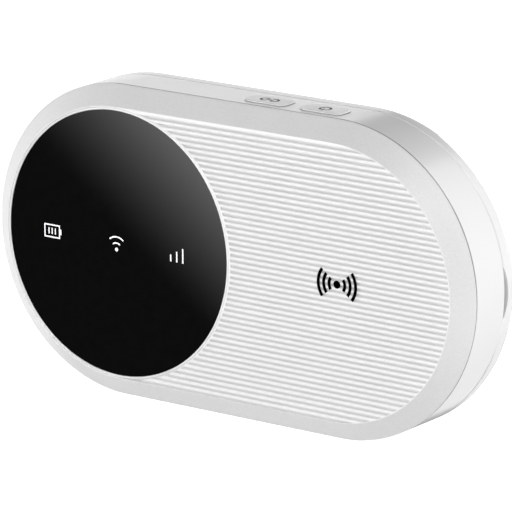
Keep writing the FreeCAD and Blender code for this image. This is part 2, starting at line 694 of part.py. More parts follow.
def cover_shell(body):
    """The bevelled plate of the front cover, hollowed from behind, with its locating lip."""
    plate = grow(body, racetrack(body, "CoverOutline", "end_radius", "0"), "cover_back", "CoverPlate")
    doc.recompute()
    bevel = body.newObject("PartDesign::Chamfer", "CoverBevel")
    bevel.Base = (plate, edges_at(plate, lambda x, depth, rise: near(depth, "0")))
    bevel.ChamferType = "Two distances"
    bind(bevel, "Size", "bevel_width")
    bind(bevel, "Size2", "bevel_depth")
    doc.recompute()
    if not front_face_is_narrow(bevel):
        bevel.FlipDirection = True
        doc.recompute()
    soften(body, bevel, lambda x, depth, rise: near(depth, "0"), "face_round", "FaceRound")
    hollow = racetrack(body, "HollowOutline", "inner_radius", "floor_back")
    carve(body, hollow, "cover_back - floor_back", "CoverHollow")
    lip = racetrack(body, "LipOutline", "lip_outer", "floor_back - fit_gap")
    grow(body, lip, "cover_back - floor_back + lip_reach + fit_gap", "CoverLip")
    core = racetrack(body, "LipCore", "lip_outer - lip_wall", "floor_back")
    carve(body, core, "cover_back + lip_reach", "CoverLipCore")


def grooves(body):
    """One groove across the face, repeated down the face at the rib pitch."""
    sketch = new_sketch(body, "GrooveProfile", "YZ", rise="groove_top")
    wide = number("groove_width") / 2
    narrow = number("groove_floor") / 2
    deep = number("groove_deep")
    draw_loop(sketch, [(0, -wide), (deep, -narrow), (deep, narrow), (0, wide)])
    sketch.addConstraint(Sketcher.Constraint("PointOnObject", 0, 1, -2))
    sketch.addConstraint(Sketcher.Constraint("Symmetric", 0, 1, 2, 2, -1))
    sketch.addConstraint(Sketcher.Constraint("Symmetric", 1, 1, 1, 2, -1))
    dimension(sketch, "DistanceY", (0, 1, 2, 2), "groove_width")
    dimension(sketch, "DistanceY", (1, 1, 1, 2), "groove_floor")
    dimension(sketch, "DistanceX", (0, 1, 0, 2), "groove_deep")
    pocket = carve(body, sketch, "2 * (half_straight + end_radius)", "Groove")
    pocket.Midplane = True
    doc.recompute()
    pattern = body.newObject("PartDesign::LinearPattern", "Grooves")
    pattern.Originals = [pocket]
    pattern.Direction = (sketch, ["V_Axis"])
    pattern.Reversed = True
    bind(pattern, "Length", "rib_pitch * (groove_count - 1)")
    bind(pattern, "Occurrences", "groove_count")
    body.Tip = pattern


def front_cover(emblem):
    """The ribbed front, with screw bosses behind and the seats of lens, light guides and emblem."""
    body = new_body("front_cover")
    cover_shell(body)
    for index, (x, rise) in enumerate(screw_points()):
        place = {"x": x, "rise": rise}
        root = "floor_back - overlap"
        boss = circle(body, "BossOutline%d" % index, "XZ", "post_radius", depth=root, **place)
        grow(body, boss, "board_front - floor_back + overlap", "Boss%d" % index)
        pilot = circle(body, "PilotOutline%d" % index, "XZ", "shank_radius", depth="pilot_end", **place)
        carve(body, pilot, "board_front - floor_back", "Pilot%d" % index)
    grooves(body)
    seat = circle(body, "LensSeat", "XZ", "ring_outer + fit_gap", x="-half_straight", depth="-overlap")
    carve(body, seat, "floor_front + overlap", "LensPocket")
    for index, (x, rise) in enumerate(GUIDES):
        window = rectangle(
            body, "WindowOutline%d" % index, "XZ",
            "(%s) - (%s) + 2 * fit_gap" % (x[1], x[0]), "(%s) - (%s) + 2 * fit_gap" % (rise[1], rise[0]),
            x="%s - fit_gap" % x[0], rise="%s - fit_gap" % rise[0], depth="floor_front - overlap",
        )
        carve(body, window, "floor_back - floor_front + 2 * overlap", "Window%d" % index)
    inlaid("front_cover", body, emblem)


def display_lens(icons):
    blank = disc("LensBlank", "lens_radius", "-half_straight", "0", ("lens_sunk", "lens_back"))
    keep(cut("DisplayLens", blank, group("LensSymbols", icons)), "display_lens")


def lens_ring():
    outer = disc("RingOuter", "ring_outer", "-half_straight", "0", ("0", "floor_front"))
    inner = disc("RingInner", "lens_radius + fit_gap", "-half_straight", "0", ("0", "floor_front"))
    keep(cut("LensRing", outer, inner), "lens_ring")


def light_guides():
    """A clear shaft behind each symbol, with a flange behind the cover's floor."""
    guides = []
    for index, (x, rise) in enumerate(GUIDES):
        shaft = block("GuideShaft%d" % index, x, ("lens_back", "floor_back"), rise)
        flange_x = (x[0] + " - guide_flange", x[1] + " + guide_flange")
        flange_rise = (rise[0] + " - guide_flange", rise[1] + " + guide_flange")
        flange_depth = ("floor_back", "floor_back + guide_flange")
        flange = block("GuideFlange%d" % index, flange_x, flange_depth, flange_rise)
        guides.append(join("Guide%d" % index, [shaft, flange]))
    keep(group("LightGuides", guides), "light_guides")


def status_leds():
    """Two lamps on the board behind each light guide."""
    depth = ("board_front - led_thick", "board_front")
    rise = ("-led_tall / 2", "led_tall / 2")
    leds = []
    for index, guide in enumerate(GUIDES):
        start, end = guide[0]
        for side in (-1, 1):
            middle = "((%s) + (%s)) / 2 + %d * led_apart / 2" % (start, end, side)
            led_x = (middle + " - led_long / 2", middle + " + led_long / 2")
            leds.append(block("Led%d%d" % (index, side + 1), led_x, depth, rise))
    keep(group("StatusLeds", leds), "status_leds")


# ---------------------------------------------------------------- middle frame

def key_opening(body, tag, middle):
    """The rounded hole for a key through the upper wall."""
    hole = rectangle(
        body, tag + "Opening", "XY",
        "key_long + 2 * key_gap", "key_wide + 2 * key_gap",
        x="%s - key_long / 2 - key_gap" % middle, depth="key_depth - key_wide / 2 - key_gap",
        rise="inner_radius - overlap",
    )
    opening = carve(body, hole, "side_wall + 2 * overlap", tag + "Hole")
    doc.recompute()

    def upright(x, depth, rise):
        across = near(abs(x - number(middle)), "key_long / 2 + key_gap")
        return across and near(abs(depth - number("key_depth")), "key_wide / 2 + key_gap")

    soften(body, opening, upright, "key_corner + key_gap", tag + "Corners")


def middle_frame():
    """The band round the middle, with the ledge that carries the chassis."""
    body = new_body("middle_frame")
    outline = racetrack(body, "FrameOutline", "end_radius", "cover_back")
    grow(body, outline, "frame_back - cover_back", "FrameBand")
    inside = racetrack(body, "FrameInside", "inner_radius", "cover_back - overlap")
    band = carve(body, inside, "frame_back - cover_back + 2 * overlap", "FrameBore")
    doc.recompute()

    def outer_edge(x, depth, rise):
        at_end = near(depth, "cover_back") or near(depth, "frame_back")
        return at_end and near(outline_distance(x, rise), "end_radius")

    soften(body, band, outer_edge, "edge_break", "FrameEdges", "PartDesign::Chamfer")
    ledge = racetrack(body, "LedgeOutline", "inner_radius + overlap", "ledge_front")
    grow(body, ledge, "ledge_thick", "Ledge")
    ledge_inside = racetrack(body, "LedgeInside", "ledge_radius", "ledge_front - overlap")
    carve(body, ledge_inside, "ledge_thick + 2 * overlap", "LedgeBore")
    relief = rectangle(
        body, "KeyRelief", "XY",
        "power_x - pairing_x + flange_long + 2 * relief_gap", "ledge_thick + 2 * overlap",
        x="pairing_x - flange_long / 2 - relief_gap", depth="ledge_front - overlap",
        rise="ledge_radius - overlap",
    )
    carve(body, relief, "ledge_width + overlap", "LedgeRelief")
    key_opening(body, "Pairing", "pairing_x")
    key_opening(body, "Power", "power_x")
    slot = upright_track(
        body, "PortSlot", "port_straight", "port_thick / 2 + port_gap",
        depth="port_depth", x="-half_straight - end_radius - overlap",
    )
    carve(body, slot, "end_radius / 2", "PortHole")


# ---------------------------------------------------------------- rear cover

def end_tab(body, tag, facing):
    """A snap tab on a round end, turned to lie along it."""
    side = 1 if abs(facing) < 90 else -1
    centre = "%d * half_straight" % side
    sketch = new_sketch(body, tag + "Outline", "XZ", depth="tab_front", x=centre)
    turn_sketch(sketch, facing)
    outer = number("end_tab_reach")
    inner = outer - number("hook_thick")
    half = number("hook_width") / 2
    draw_loop(sketch, [(inner, -half), (outer, -half), (outer, half), (inner, half)])
    for line, level in ((0, "Horizontal"), (2, "Horizontal"), (3, "Vertical")):
        sketch.addConstraint(Sketcher.Constraint(level, line))
    sketch.addConstraint(Sketcher.Constraint("Symmetric", 1, 1, 1, 2, -1))
    dimension(sketch, "DistanceX", (-1, 1, 1, 1), "end_tab_reach")
    dimension(sketch, "DistanceX", (0, 1, 0, 2), "hook_thick")
    dimension(sketch, "DistanceY", (1, 1, 1, 2), "hook_width")
    grow(body, sketch, "tab_back - tab_front", tag)


def rear_cover():
    """The removable back, with its snap tabs and the pry notch in its right edge."""
    body = new_body("rear_cover")
    outline = racetrack(body, "BackOutline", "end_radius", "rear_front")
    plate = grow(body, outline, "case_depth - rear_front", "Back")
    doc.recompute()

    def back_edge(x, depth, rise):
        return near(depth, "case_depth")

    def joint_edge(x, depth, rise):
        return near(depth, "rear_front")

    rounded = soften(body, plate, back_edge, "back_round", "BackRound")
    doc.recompute()
    soften(body, rounded, joint_edge, "edge_break", "BackEdge", "PartDesign::Chamfer")
    inside = racetrack(body, "BackInside", "end_radius - cover_wall", "rear_front - overlap")
    carve(body, inside, "case_depth - rear_front - back_wall + overlap", "BackHollow")
    lower = "-tab_reach"
    upper = "tab_reach - hook_thick"
    tabs = (("-hook_x", upper), ("-hook_x", lower), ("0", lower), ("hook_x", lower))
    for index, (middle, low) in enumerate(tabs):
        outline = rectangle(
            body, "TabOutline%d" % index, "XZ", "hook_width", "hook_thick",
            x="%s - hook_width / 2" % middle, rise=low, depth="tab_front",
        )
        grow(body, outline, "tab_back - tab_front", "Tab%d" % index)
    angle = number("hook_angle")
    for index, facing in enumerate((-angle, angle, 180 - angle, angle - 180)):
        end_tab(body, "EndTab%d" % index, facing)
    notch = circle(
        body, "NotchOutline", "YZ", "notch_radius",
        depth="frame_back + notch_deep - notch_radius", x="half_straight + end_radius - notch_cut",
    )
    carve(body, notch, "notch_cut + overlap", "PryNotch")


# ---------------------------------------------------------------- chassis and battery

def inner_chassis():
    """The deck on the frame's ledge, with the battery bay sunk in it and posts down to the board."""
    body = new_body("inner_chassis")
    grow(body, racetrack(body, "DeckOutline", "inner_radius - deck_gap", "ledge_back"), "deck_thick", "Deck")
    tub = rectangle(
        body, "TubOutline", "XZ",
        "bay_right - bay_left + 2 * bay_wall", "2 * bay_half + 2 * bay_wall",
        x="bay_left - bay_wall", rise="-bay_half - bay_wall", depth="floor_lift",
    )
    grow(body, tub, "bay_back - floor_lift", "Tub")
    bay = rectangle(
        body, "BayOutline", "XZ", "bay_right - bay_left", "2 * bay_half",
        x="bay_left", rise="-bay_half", depth="bay_front",
    )
    carve(body, bay, "bay_back - floor_lift", "Bay")
    window = rectangle(
        body, "CardWindow", "XZ",
        "card_long + card_travel + 2 * window_end", "card_tall + 2 * window_side",
        x="card_left - window_end", rise="-card_tall / 2 - window_side", depth="floor_lift - overlap",
    )
    carve(body, window, "bay_wall + 2 * overlap", "CardOpening")
    slot = rectangle(
        body, "ContactSlot", "XZ", "bay_wall + 2 * overlap", "contact_span + 2 * contact_edge",
        x="bay_left - bay_wall - overlap", rise="contact_rise - contact_edge",
        depth="bay_front + blade_set / 2",
    )
    carve(body, slot, "ledge_back - bay_front - blade_set / 2", "ContactOpening")
    for index, (x, rise) in enumerate(screw_points()):
        place = {"x": x, "rise": rise}
        post = circle(body, "PostOutline%d" % index, "XZ", "post_radius", depth="board_back", **place)
        grow(body, post, "ledge_back - board_back + overlap", "Post%d" % index)
        bore = circle(body, "BoreOutline%d" % index, "XZ", "bore_radius", depth="board_front", **place)
        carve(body, bore, "seat_depth", "Bore%d" % index)
        well = circle(body, "WellOutline%d" % index, "XZ", "well_radius", depth="seat_depth", **place)
        carve(body, well, "case_depth - seat_depth", "Well%d" % index)
    scoop = circle(body, "ScoopOutline", "XZ", "scoop_radius", x="bay_right + scoop_set", depth="deck_back")
    carve(body, scoop, "bay_rim + overlap", "FingerScoop")


def battery():
    """The battery pack in its bay, with its terminals and wrap."""
    rise = ("-battery_half", "battery_half")
    blank = block("BatteryBlank", ("battery_left", "battery_right"), ("battery_front", "battery_back"), rise)
    pads = []
    for index in range(3):
        low = "contact_rise + %d * contact_pitch + blade_thick / 2 - pad_tall / 2" % index
        depth = ("blade_front - pad_margin", "blade_front + blade_wide + pad_margin")
        x = ("battery_left", "battery_left + pad_thick")
        pads.append(block("BatteryPad%d" % index, x, depth, (low, low + " + pad_tall")))
    wrap_x = ("battery_left + wrap_start", "battery_right - wrap_edge")
    wrap_rise = ("-battery_half + wrap_edge", "battery_half - wrap_edge")
    wrap = block("BatteryWrap", wrap_x, ("battery_back - label_thick", "battery_back"), wrap_rise)
    terminals = keep(group("BatteryTerminals", pads), "battery_terminals")
    keep(wrap, "battery_label")
    keep(cut("BatteryPack", blank, group("BatteryInlays", [terminals, wrap])), "battery_pack")


def chassis_screws():
    """Four screws that hold chassis and board to the front cover."""
    screws = []
    for index, (x, rise) in enumerate(screw_points()):
        head = disc("ScrewHead%d" % index, "head_radius", x, rise, ("seat_depth", "head_back"))
        length = ("shank_end", "seat_depth")
        shank = disc("ScrewShank%d" % index, "shank_radius - thread_gap", x, rise, length)
        drive = disc("ScrewDrive%d" % index, "drive_radius", x, rise, ("drive_front", "head_back"))
        blank = join("ScrewBlank%d" % index, [head, shank])
        screws.append(cut("Screw%d" % index, blank, drive))
    keep(group("ChassisScrews", screws), "chassis_screws")


def rating_label():
    x = ("card_left + card_long + card_travel + label_gap", "battery_right - wrap_edge")
    depth = ("bay_front", "bay_front + label_thick")
    keep(block("RatingLabel", x, depth, ("-label_half", "label_half")), "rating_label")


# ---------------------------------------------------------------- electronics

def main_board():
    body = new_body("main_board")
    grow(body, racetrack(body, "BoardOutline", "board_radius", "board_front"), "board_thick", "BoardPlate")
    through = "board_thick + 2 * overlap"
    for index, (x, rise) in enumerate(screw_points()):
        place = {"x": x, "rise": rise, "depth": "board_front - overlap"}
        hole = circle(body, "BoardHoleOutline%d" % index, "XZ", "bore_radius", **place)
        carve(body, hole, through, "BoardHole%d" % index)
    port = rectangle(
        body, "PortCutOutline", "XZ", "port_long", "port_wide + 2 * port_gap",
        x="port_left + port_gap", rise="-port_wide / 2 - port_gap", depth="board_front - overlap",
    )
    carve(body, port, through, "PortCut")


def chip(label, corner, long, tall, depth):
    """A flat package; the corner is its (left, low), the depth its (front, back)."""
    left, low = corner
    x = (left, "%s + %s" % (left, long))
    rise = (low, "%s + %s" % (low, tall))
    return keep(block(label.title().replace("_", ""), x, depth, rise), label)


def shield(label, corner, long, tall):
    """A sheet-metal can, open towards the board; the corner is its (left, low)."""
    left, low = corner
    name = label.title().replace("_", "")
    right = "%s + %s" % (left, long)
    top = "%s + %s" % (low, tall)
    outer = block(name + "Outer", (left, right), ("board_back", "can_back"), (low, top))
    inside_x = (left + " + sheet_metal", right + " - sheet_metal")
    inside_rise = (low + " + sheet_metal", top + " - sheet_metal")
    inner = block(name + "Inner", inside_x, ("board_back", "can_back - sheet_metal"), inside_rise)
    keep(cut(name, outer, inner), label)


def radio_and_power():
    """Shield cans with the chips under them."""
    on_board = ("board_back", "board_back + chip_tall")
    shield("modem_shield", ("radio_left", "modem_low"), "modem_long", "modem_tall")
    modem_corner = ("radio_left + modem_chip_inset", "modem_low + modem_chip_inset")
    chip("modem_chip", modem_corner, "modem_chip_side", "modem_chip_side", on_board)
    memory_corner = ("radio_left + memory_inset", "modem_low + memory_lift")
    chip("memory_chip", memory_corner, "memory_long", "memory_tall", on_board)
    pad_depth = ("board_back + chip_tall", "can_back - sheet_metal")
    pad_corner = tuple(edge + " + thermal_inset" for edge in modem_corner)
    pad_side = "modem_chip_side - 2 * thermal_inset"
    chip("thermal_pad", pad_corner, pad_side, pad_side, pad_depth)
    shield("wireless_shield", ("radio_left", "wireless_low"), "wireless_long", "wireless_tall")
    wireless_rise = "wireless_low + (wireless_tall - wireless_chip_side) / 2"
    wireless_corner = ("radio_left + wireless_chip_inset", wireless_rise)
    chip("wireless_chip", wireless_corner, "wireless_chip_side", "wireless_chip_side", on_board)
    shield("power_shield", ("power_left", "power_low"), "power_long", "power_tall")
    power_rise = "power_low + (power_tall - power_chip_side) / 2"
    power_corner = ("power_left + power_chip_inset", power_rise)
    chip("power_chip", power_corner, "power_chip_side", "power_chip_side", on_board)


def board_passives():
    """Two rows of small parts beside the port."""
    depth = ("board_back", "board_back + passive_thick")
    parts = []
    for row, low in enumerate(("passive_upper", "passive_lower")):
        for index in range(8):
            left = "passive_left + %d * passive_pitch" % index
            rise = (low, low + " + passive_thick")
            parts.append(block("Passive%d_%d" % (row, index), (left, left + " + passive_long"), depth, rise))
    keep(group("BoardPassives", parts), "board_passives")


PORT_PINS = 12


def charging_port():
    """The USB-C receptacle in the left end: shell, tongue and contacts."""
    body = new_body("port_shell")
    shell = upright_track(
        body, "ShellOutline", "port_straight", "port_thick / 2", depth="port_depth", x="port_left",
    )
    grow(body, shell, "port_long", "ShellTube")
    mouth = upright_track(
        body, "MouthOutline", "port_straight", "port_thick / 2 - port_wall",
        depth="port_depth", x="port_left - overlap",
    )
    carve(body, mouth, "port_long - port_wall + overlap", "ShellHollow")
    front = "port_depth - tongue_thick / 2"
    back = "port_depth + tongue_thick / 2"
    tongue_x = ("port_left + tongue_sunk", "port_end")
    tongue = block("PortTongueBlank", tongue_x, (front, back), ("-tongue_wide / 2", "tongue_wide / 2"))
    pins = []
    pin_x = ("port_left + pin_start", "port_left + pin_end")
    for side, face in enumerate((front, back + " - pin_thick")):
        for index in range(PORT_PINS):
            low = "%s * pin_pitch - pin_wide / 2" % (index - (PORT_PINS - 1) / 2)
            name = "PortPin%d_%d" % (side, index)
            pins.append(block(name, pin_x, (face, face + " + pin_thick"), (low, low + " + pin_wide")))
    contacts = keep(group("PortContacts", pins), "port_contacts")
    keep(cut("PortTongue", tongue, contacts), "port_tongue")


def card_socket():
    """The SIM card in its sheet-metal socket, which opens towards +X."""
    x = ("card_left - socket_margin", "card_left + card_long - card_showing")
    side = "card_tall / 2 + socket_margin"
    lid = "card_back + fit_gap"
    socket_depth = ("board_back", lid + " + sheet_metal")
    outer = block("SocketOuter", x, socket_depth, ("-(%s)" % side, side))
    inside_rise = ("-(%s) + sheet_metal" % side, side + " - sheet_metal")
    inside_x = (x[0] + " + sheet_metal", x[1])
    inner = block("SocketInner", inside_x, ("board_back + sheet_metal", lid), inside_rise)
    opening_x = ("card_left + socket_window_start", "card_left + socket_window_end")
    opening_rise = ("-socket_window_half", "socket_window_half")
    opening = block("SocketWindow", opening_x, (lid, lid + " + sheet_metal"), opening_rise)
    keep(cut("SimSocket", outer, group("SocketSpace", [inner, opening])), "sim_socket")
    springs = []
    pads = []
    for row in (-1, 0, 1):
        for column in range(2):
            tag = "%d%d" % (row + 1, column)
            left = "card_left + spring_left + %d * spring_apart" % column
            spring_x = (left, left + " + spring_long")
            spring_depth = ("board_back + sheet_metal", "card_front - fit_gap")
            middle = "%d * spring_pitch" % row
            rise = (middle + " - spring_wide / 2", middle + " + spring_wide / 2")
            springs.append(block("CardSpring" + tag, spring_x, spring_depth, rise))
            pad_x = (left + " - pad_margin", left + " + spring_long + pad_margin")
            pad_rise = (middle + " - card_pad_wide / 2", middle + " + card_pad_wide / 2")
            pads.append(block("CardPad" + tag, pad_x, ("card_front", "card_front + label_thick"), pad_rise))
    keep(group("SimContacts", springs), "sim_contacts")
    card_pads = keep(group("SimCardPads", pads), "sim_card_pads")
    card_x = ("card_left", "card_left + card_long")
    blank = block("CardBlank", card_x, ("card_front", "card_back"), ("-card_tall / 2", "card_tall / 2"))
    keep(cut("SimCard", blank, card_pads), "sim_card")


def battery_connector():
    """The housing left of the bay, with three blades that reach the battery's terminals."""
    x = ("connector_right - connector_long", "connector_right")
    rise = ("contact_rise - connector_edge", "contact_rise + contact_span + connector_edge")
    housing = block("ConnectorBlank", x, ("board_back", "ledge_back - pad_margin"), rise)
    slots = []
    blades = []
    for index in range(3):
        low = "contact_rise + %d * contact_pitch" % index
        blade_rise = (low, low + " + blade_thick")
        slot_rise = (low + " - blade_gap", low + " + blade_thick + blade_gap")
        slot_depth = ("blade_front - blade_wide", "blade_front + 2 * blade_wide")
        slots.append(block("BladeSlot%d" % index, ("blade_left", "connector_right"), slot_depth, slot_rise))
        tip_depth = ("blade_front", "blade_front + blade_wide")
        tip_x = ("blade_left", "battery_left - label_thick")
        tip = block("BladeTip%d" % index, tip_x, tip_depth, blade_rise)
        foot_depth = ("blade_front - blade_wide / 2", "blade_front + blade_wide")
        foot = block("BladeFoot%d" % index, ("blade_left", "blade_left + pad_thick"), foot_depth, blade_rise)
        blades.append(join("Blade%d" % index, [tip, foot]))
    keep(cut("BatteryConnector", housing, group("BladeSlots", slots)), "battery_connector")
    keep(group("BatteryBlades", blades), "battery_blades")


def antenna(label, corner, long, tall, turns):
    """A plastic carrier on the board with a folded metal trace on its back."""
    left, low = corner
    name = label.title().replace("_", "")
    x = (left, "%s + %s" % (left, long))
    rise = (low, "%s + %s" % (low, tall))
    keep(block(name + "Carrier", x, ("board_back", "carrier_back"), rise), label + "_carrier")
    depth = ("carrier_back", "carrier_back + trace_thick")
    first = (x[0] + " + trace_edge", x[0] + " + trace_edge + trace_wide")
    last = (x[1] + " - trace_edge - trace_wide", x[1] + " - trace_edge")
    pitch = "(%s - 2 * trace_edge - trace_wide) / %d" % (tall, turns)
    runs = []
    for index in range(turns + 1):
        start = "%s + trace_edge + %d * %s" % (low, index, pitch)
        run_rise = (start, start + " + trace_wide")
        runs.append(block("%sRun%d" % (name, index), (first[0], last[1]), depth, run_rise))
        if index < turns:
            turn_x = last if index % 2 == 0 else first
            turn_rise = (start, "%s + %s + trace_wide" % (start, pitch))
            runs.append(block("%sTurn%d" % (name, index), turn_x, depth, turn_rise))
    keep(join(name + "Trace", runs), label)


# ---------------------------------------------------------------- keys

def key(label, middle):
    """A key with its inner flange; it slides down in the upper wall."""
    body = new_body(label)
    tag = label.title().replace("_", "")
    cap = rectangle(
        body, tag + "Outline", "XY", "key_long", "key_wide",
        x="%s - key_long / 2" % middle, depth="key_depth - key_wide / 2", rise="flange_low",
    )
    pad = grow(body, cap, "key_top - flange_low", tag + "Cap")
    doc.recompute()

    def upright(x, depth, rise):
        across = near(abs(x - number(middle)), "key_long / 2")
        return across and near(abs(depth - number("key_depth")), "key_wide / 2")

    rounded = soften(body, pad, upright, "key_corner", tag + "Corners")
    doc.recompute()
    soften(body, rounded, lambda x, depth, rise: near(rise, "key_top"), "key_round", tag + "Edge")
    flange = rectangle(
        body, tag + "FlangeOutline", "XY", "flange_long", "flange_wide",
        x="%s - flange_long / 2" % middle, depth="key_depth - flange_wide / 2", rise="flange_low",
    )
    grow(body, flange, "flange_thick", tag + "Flange")
    return body


SYMBOL_RISE = ("key_top - inlay", "key_top")


def symbol_arc(name, middle, radius, start, sweep):
    """An arc stroke lying in a key's top; it starts and sweeps in degrees from +X to the back."""
    outer = upright_rod(name + "Outer", radius + " + symbol_stroke / 2", middle, "key_depth", SYMBOL_RISE)
    outer.Angle = sweep
    outer.Placement.Rotation = FreeCAD.Rotation(FreeCAD.Vector(0, 0, 1), start)
    inner = upright_rod(name + "Inner", radius + " - symbol_stroke / 2", middle, "key_depth", SYMBOL_RISE)
    return cut(name, outer, inner)


def power_symbol():
    """A broken ring and a bar, inlaid in the power key."""
    ring = symbol_arc("PowerRing", "power_x", "power_ring", -60, 300)
    bar_x = ("power_x - symbol_stroke / 2", "power_x + symbol_stroke / 2")
    bar_depth = ("key_depth - power_ring - symbol_stroke", "key_depth - symbol_stroke / 2")
    bar = block("PowerBar", bar_x, bar_depth, SYMBOL_RISE)
    return keep(group("PowerSymbol", [ring, bar]), "power_symbol")


def pairing_symbol():
    """Two links of a chain, inlaid in the pairing key."""
    left = symbol_arc("PairingLeft", "pairing_x - link_apart", "link_ring", 40, 280)
    right = symbol_arc("PairingRight", "pairing_x + link_apart", "link_ring", 220, 280)
    bar_x = ("pairing_x - link_ring", "pairing_x + link_ring")
    bar_depth = ("key_depth - symbol_stroke / 2", "key_depth + symbol_stroke / 2")
    bar = block("PairingBar", bar_x, bar_depth, SYMBOL_RISE)
    return keep(group("PairingSymbol", [left, right, bar]), "pairing_symbol")


def inlaid(label, body, symbol):
    """Keep a body under its label with its symbol's recess cut out."""
    nodes.remove(body)
    body.Label = label + "_blank"
    keep(cut(label.title().replace("_", "") + "Inlaid", body, symbol), label)


def key_switch(side, middle):
    """A side-pushed switch at the board's upper edge, with the plunger that its key presses."""
    tag = side.title()
    x = ("%s - switch_long / 2" % middle, "%s + switch_long / 2" % middle)
    depth = ("board_back", "board_back + switch_thick")
    case = block(tag + "SwitchCase", x, depth, ("switch_top - switch_tall", "switch_top"))
    bore_rise = ("switch_top - plunger_sunk - key_travel - overlap", "switch_top")
    bore = upright_rod(tag + "SwitchBore", "plunger_radius + fit_gap", middle, "switch_axis", bore_rise)
    keep(cut(tag + "Switch", case, bore), side + "_switch")
    plunger_rise = ("switch_top - plunger_sunk", "flange_low")
    plunger = upright_rod(tag + "Plunger", "plunger_radius", middle, "switch_axis", plunger_rise)
    keep(plunger, side + "_plunger")


def upright_rod(name, radius, x, depth, rise):
    rod = doc.addObject("Part::Cylinder", name)
    bind(rod, "Radius", radius)
    bind(rod, "Height", "(%s) - (%s)" % (rise[1], rise[0]))
    stand_part(rod, x, depth, rise[0])
    return rod


# ---------------------------------------------------------------- build, check and write

def build_all():
    front_cover(hotspot_emblem())
    display_lens([battery_icon(), wireless_icon(), signal_icon()])
    lens_ring()
    light_guides()
    status_leds()
    middle_frame()
    rear_cover()
    inner_chassis()
    battery()
    chassis_screws()
    rating_label()
    main_board()
    radio_and_power()
    board_passives()
    charging_port()
    card_socket()
    battery_connector()
    main_corner = ("half_straight + main_antenna_inset", "-main_antenna_tall / 2")
    antenna("main_antenna", main_corner, "main_antenna_long", "main_antenna_tall", turns=7)
    wireless_corner = ("-half_straight - wireless_antenna_inset", "wireless_antenna_low")
    antenna("wireless_antenna", wireless_corner, "wireless_antenna_long", "wireless_antenna_tall", turns=3)
    inlaid("power_button", key("power_button", "power_x"), power_symbol())
    inlaid("pairing_button", key("pairing_button", "pairing_x"), pairing_symbol())
    key_switch("power", "power_x")
    key_switch("pairing", "pairing_x")


def check_all():
    """Stop on a failed object, an empty or broken shape, or a cut that removed nothing."""
    for thing in doc.Objects:
        if "Invalid" in thing.State or "Error" in thing.State:
            raise RuntimeError("%s failed: %s" % (thing.Label, thing.State))
        is_pocket = thing.TypeId == "PartDesign::Pocket"
        if is_pocket and thing.Shape.Volume > thing.BaseFeature.Shape.Volume - 1e-4:
            raise RuntimeError("%s removes nothing" % thing.Label)
    for node in nodes:
        if node.Shape.isNull() or not node.Shape.isValid() or not node.Shape.Solids:
            raise RuntimeError("%s has no valid shape" % node.Label)


def write_all():
    os.makedirs("parts", exist_ok=True)
    for node in nodes:
        node.Shape.exportStep("parts/%s.step" % node.Label)
        box = node.Shape.BoundBox
        size = (box.XLength, box.YLength, box.ZLength)
        print("%-24s %2d solid(s) %8.2f x %6.2f x %6.2f" % ((node.Label, len(node.Shape.Solids)) + size))


fill_sheet()
build_all()
doc.recompute()
check_all()
write_all()
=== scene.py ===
"""Looks of the mobile hotspot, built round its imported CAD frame.

Case terms, in millimetres: x runs along the case, depth runs back from the front face, and
rise runs up from the case's long centre line. point() turns them into the frame's metres.
"""
import json
import math

import bmesh
import bpy
from mathutils import Matrix, Vector
from mathutils.geometry import tessellate_polygon


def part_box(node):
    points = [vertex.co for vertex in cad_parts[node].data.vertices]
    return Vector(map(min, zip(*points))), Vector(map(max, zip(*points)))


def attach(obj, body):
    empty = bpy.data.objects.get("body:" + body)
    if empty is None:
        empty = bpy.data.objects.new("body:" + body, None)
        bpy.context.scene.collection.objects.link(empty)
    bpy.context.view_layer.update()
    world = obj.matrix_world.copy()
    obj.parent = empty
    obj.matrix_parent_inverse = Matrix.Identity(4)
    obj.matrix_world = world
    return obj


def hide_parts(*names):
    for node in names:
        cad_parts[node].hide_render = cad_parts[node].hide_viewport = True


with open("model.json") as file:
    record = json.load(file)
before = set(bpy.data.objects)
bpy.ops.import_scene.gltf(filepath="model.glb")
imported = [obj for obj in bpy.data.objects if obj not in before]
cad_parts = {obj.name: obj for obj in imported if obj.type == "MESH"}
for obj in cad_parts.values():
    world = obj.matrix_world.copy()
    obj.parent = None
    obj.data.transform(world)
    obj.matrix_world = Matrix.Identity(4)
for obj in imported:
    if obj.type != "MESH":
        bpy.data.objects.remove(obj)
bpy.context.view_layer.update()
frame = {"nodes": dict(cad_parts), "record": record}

# ---------------------------------------------------------------- sizes, in millimetres

MM = 0.001
CASE_LONG = round(frame["record"]["size"]["bbox_m"][0] / MM, 2)
RIM_LOW, RIM_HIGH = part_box("rear_cover")
FRAME_LOW, FRAME_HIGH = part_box("middle_frame")
FRONT_LOW, FRONT_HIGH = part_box("front_cover")
LENS_LOW, LENS_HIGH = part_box("display_lens")
RING_LOW, RING_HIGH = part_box("lens_ring")
EMBLEM_LOW, EMBLEM_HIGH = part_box("hotspot_emblem")

END_RADIUS = round((RIM_HIGH.z - RIM_LOW.z) / 2 / MM, 2)
HALF_STRAIGHT = CASE_LONG / 2 - END_RADIUS
FRONT_Y = FRONT_LOW.y / MM
MIDDLE_Z = RIM_LOW.z / MM + END_RADIUS

# front cover
BEVEL_WIDTH = 3.8
BEVEL_DEEP = 2.78
SEAM_FRONT = 2.88
FACE_ROUND = 0.3
WALL_ROUND = 0.2
EDGE_ROUND = 0.06
# painted shade for the seam behind the bevel, where a groove's full depth counts 1
SEAM_SHADE = 1.6
LIP_OUTER = END_RADIUS - 1.65
LIP_WALL = 1.0
LIP_BACK = (FRONT_HIGH.y / MM) - FRONT_Y
FLOOR_FRONT = 1.2
FLOOR_BACK = 2.4
GUIDE_APART = 6.0
GUIDE_GAP = 0.05

